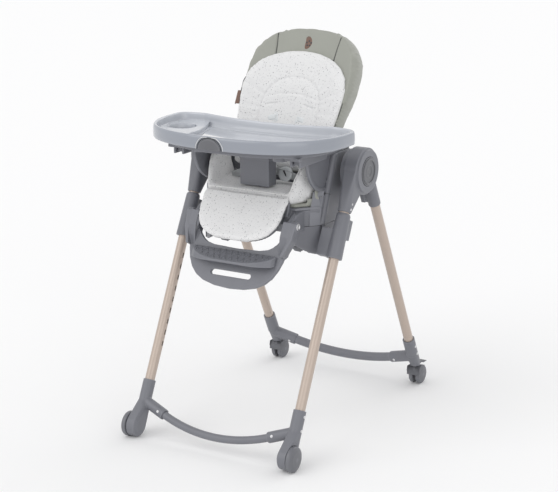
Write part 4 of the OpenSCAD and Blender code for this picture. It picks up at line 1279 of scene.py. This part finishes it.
def make_hub_rings():
    """Concentric steps on the fold buttons and a groove round each hub's face."""
    for name, s in SIDES:
        face = LEG_X + 0.0295
        rings = [lathe([(0.0325, -0.001), (0.0325, 0.0006), (0.0315, 0.0011), (0.0305, 0.0006),
                        (0.0305, -0.001)],
                       (s * face, 0, HUB_Z), (s, 0, 0), "ring", 72),
                 lathe([(0.0, -0.0012), (0.0185, -0.0012), (0.0185, -0.0002), (0.0172, 0.0008),
                        (0.0150, 0.0010), (0.0142, 0.0002),
                        (0.0, 0.0)], (s * (face - 0.0014), 0, HUB_Z), (s, 0, 0), "boss", 72)]
        join(f"button_rings_{name}", rings, "button", f"fold_release_{name}")


def clear_bore(piece, button):
    """Keeps the hub's bore open round its push button."""
    b = coordinates(frame["nodes"][button].data)
    radius, inner = np.hypot(b[:, 1], b[:, 2] - HUB_Z).max(), np.abs(b[:, 0]).min()
    co = coordinates(piece.data)
    r = np.hypot(co[:, 1], co[:, 2] - HUB_Z)
    near = (np.abs(r - radius) < 0.0018) & (np.abs(co[:, 0]) > inner - 0.008)
    scale = np.where(near, (radius + 0.0011) / np.maximum(r, 1e-6), 1.0)
    co[:, 1] *= scale
    co[:, 2] = HUB_Z + (co[:, 2] - HUB_Z) * scale
    set_coordinates(piece.data, co)


def make_moulded_parts():
    record = {n: b for b, names in frame["record"]["behaviour"]["bodies"].items() for n in names}
    fine = ["hub_arm", "front_foot", "rear_foot", "carriage", "rear_leg_socket", "caster_body",
            "caster_brake",
            "height_button"]
    coarse = ["side_panel", "side_cover", "armrest"]
    not_shell = {"caster_body": "dark", "caster_brake": "dark", "height_button": "button"}
    for name, _ in SIDES:
        for kind in fine:
            node = f"{kind}_{name}"
            shrink = 0.0005 if "caster" in kind else 0.0
            piece = moulded(node, not_shell.get(kind, "shell"), record[node], 0.0013, 5, shrink)
            if kind == "hub_arm":
                clear_bore(piece, f"fold_button_{name}")
        for kind in coarse:
            moulded(f"{kind}_{name}", "shell", record[f"{kind}_{name}"], 0.0016, 5)
    moulded("footrest", "shell", "foot_rest", 0.0015, 6)
    moulded("footrest_tread", "shell", "foot_rest", 0.0013, 5)
    moulded("calf_board", "dark", "calf_rest", 0.0018, 4)
    moulded("seat_base", "shell", "seat", 0.0020, 5)
    shell = moulded("back_shell", "shell", "backrest", 0.0022, 6)
    x, n, v = BACK.into(coordinates(shell.data)).T
    x = x * np.interp(v, [0.085, 0.14], [1.0, 0.90])
    set_coordinates(shell.data, BACK.out(x, n, np.where(v > 0.2, 0.2 + (v - 0.2) * 0.96, v)))
    moulded("tray_base", "shell", "tray", 0.0020, 4)
    moulded("recline_lever", "dark", "recline_handle", 0.0013, 5)


def paint_cad_nodes():
    """Materials for the CAD nodes that stay."""
    slots = {s["node"]: s["material_slot"] for s in frame["record"]["subparts"]}
    for name, node in frame["nodes"].items():
        node.data.materials.clear()
        node.data.materials.append(MATERIALS[slots[name]])


MATERIALS = make_materials()
make_camera()
make_studio()
paint_cad_nodes()
make_moulded_parts()
make_back_cover()
make_back_inlay()
make_seat_cover()
make_seat_inlay()
make_inlay_trims()
make_shoulder_straps()
make_adjusters()
make_slots()
make_buckle()
make_back_details()
make_tray_insert()
make_tray_release()
make_rivets()
make_side_ribs()
make_tread_ribs()
make_hub_rings()
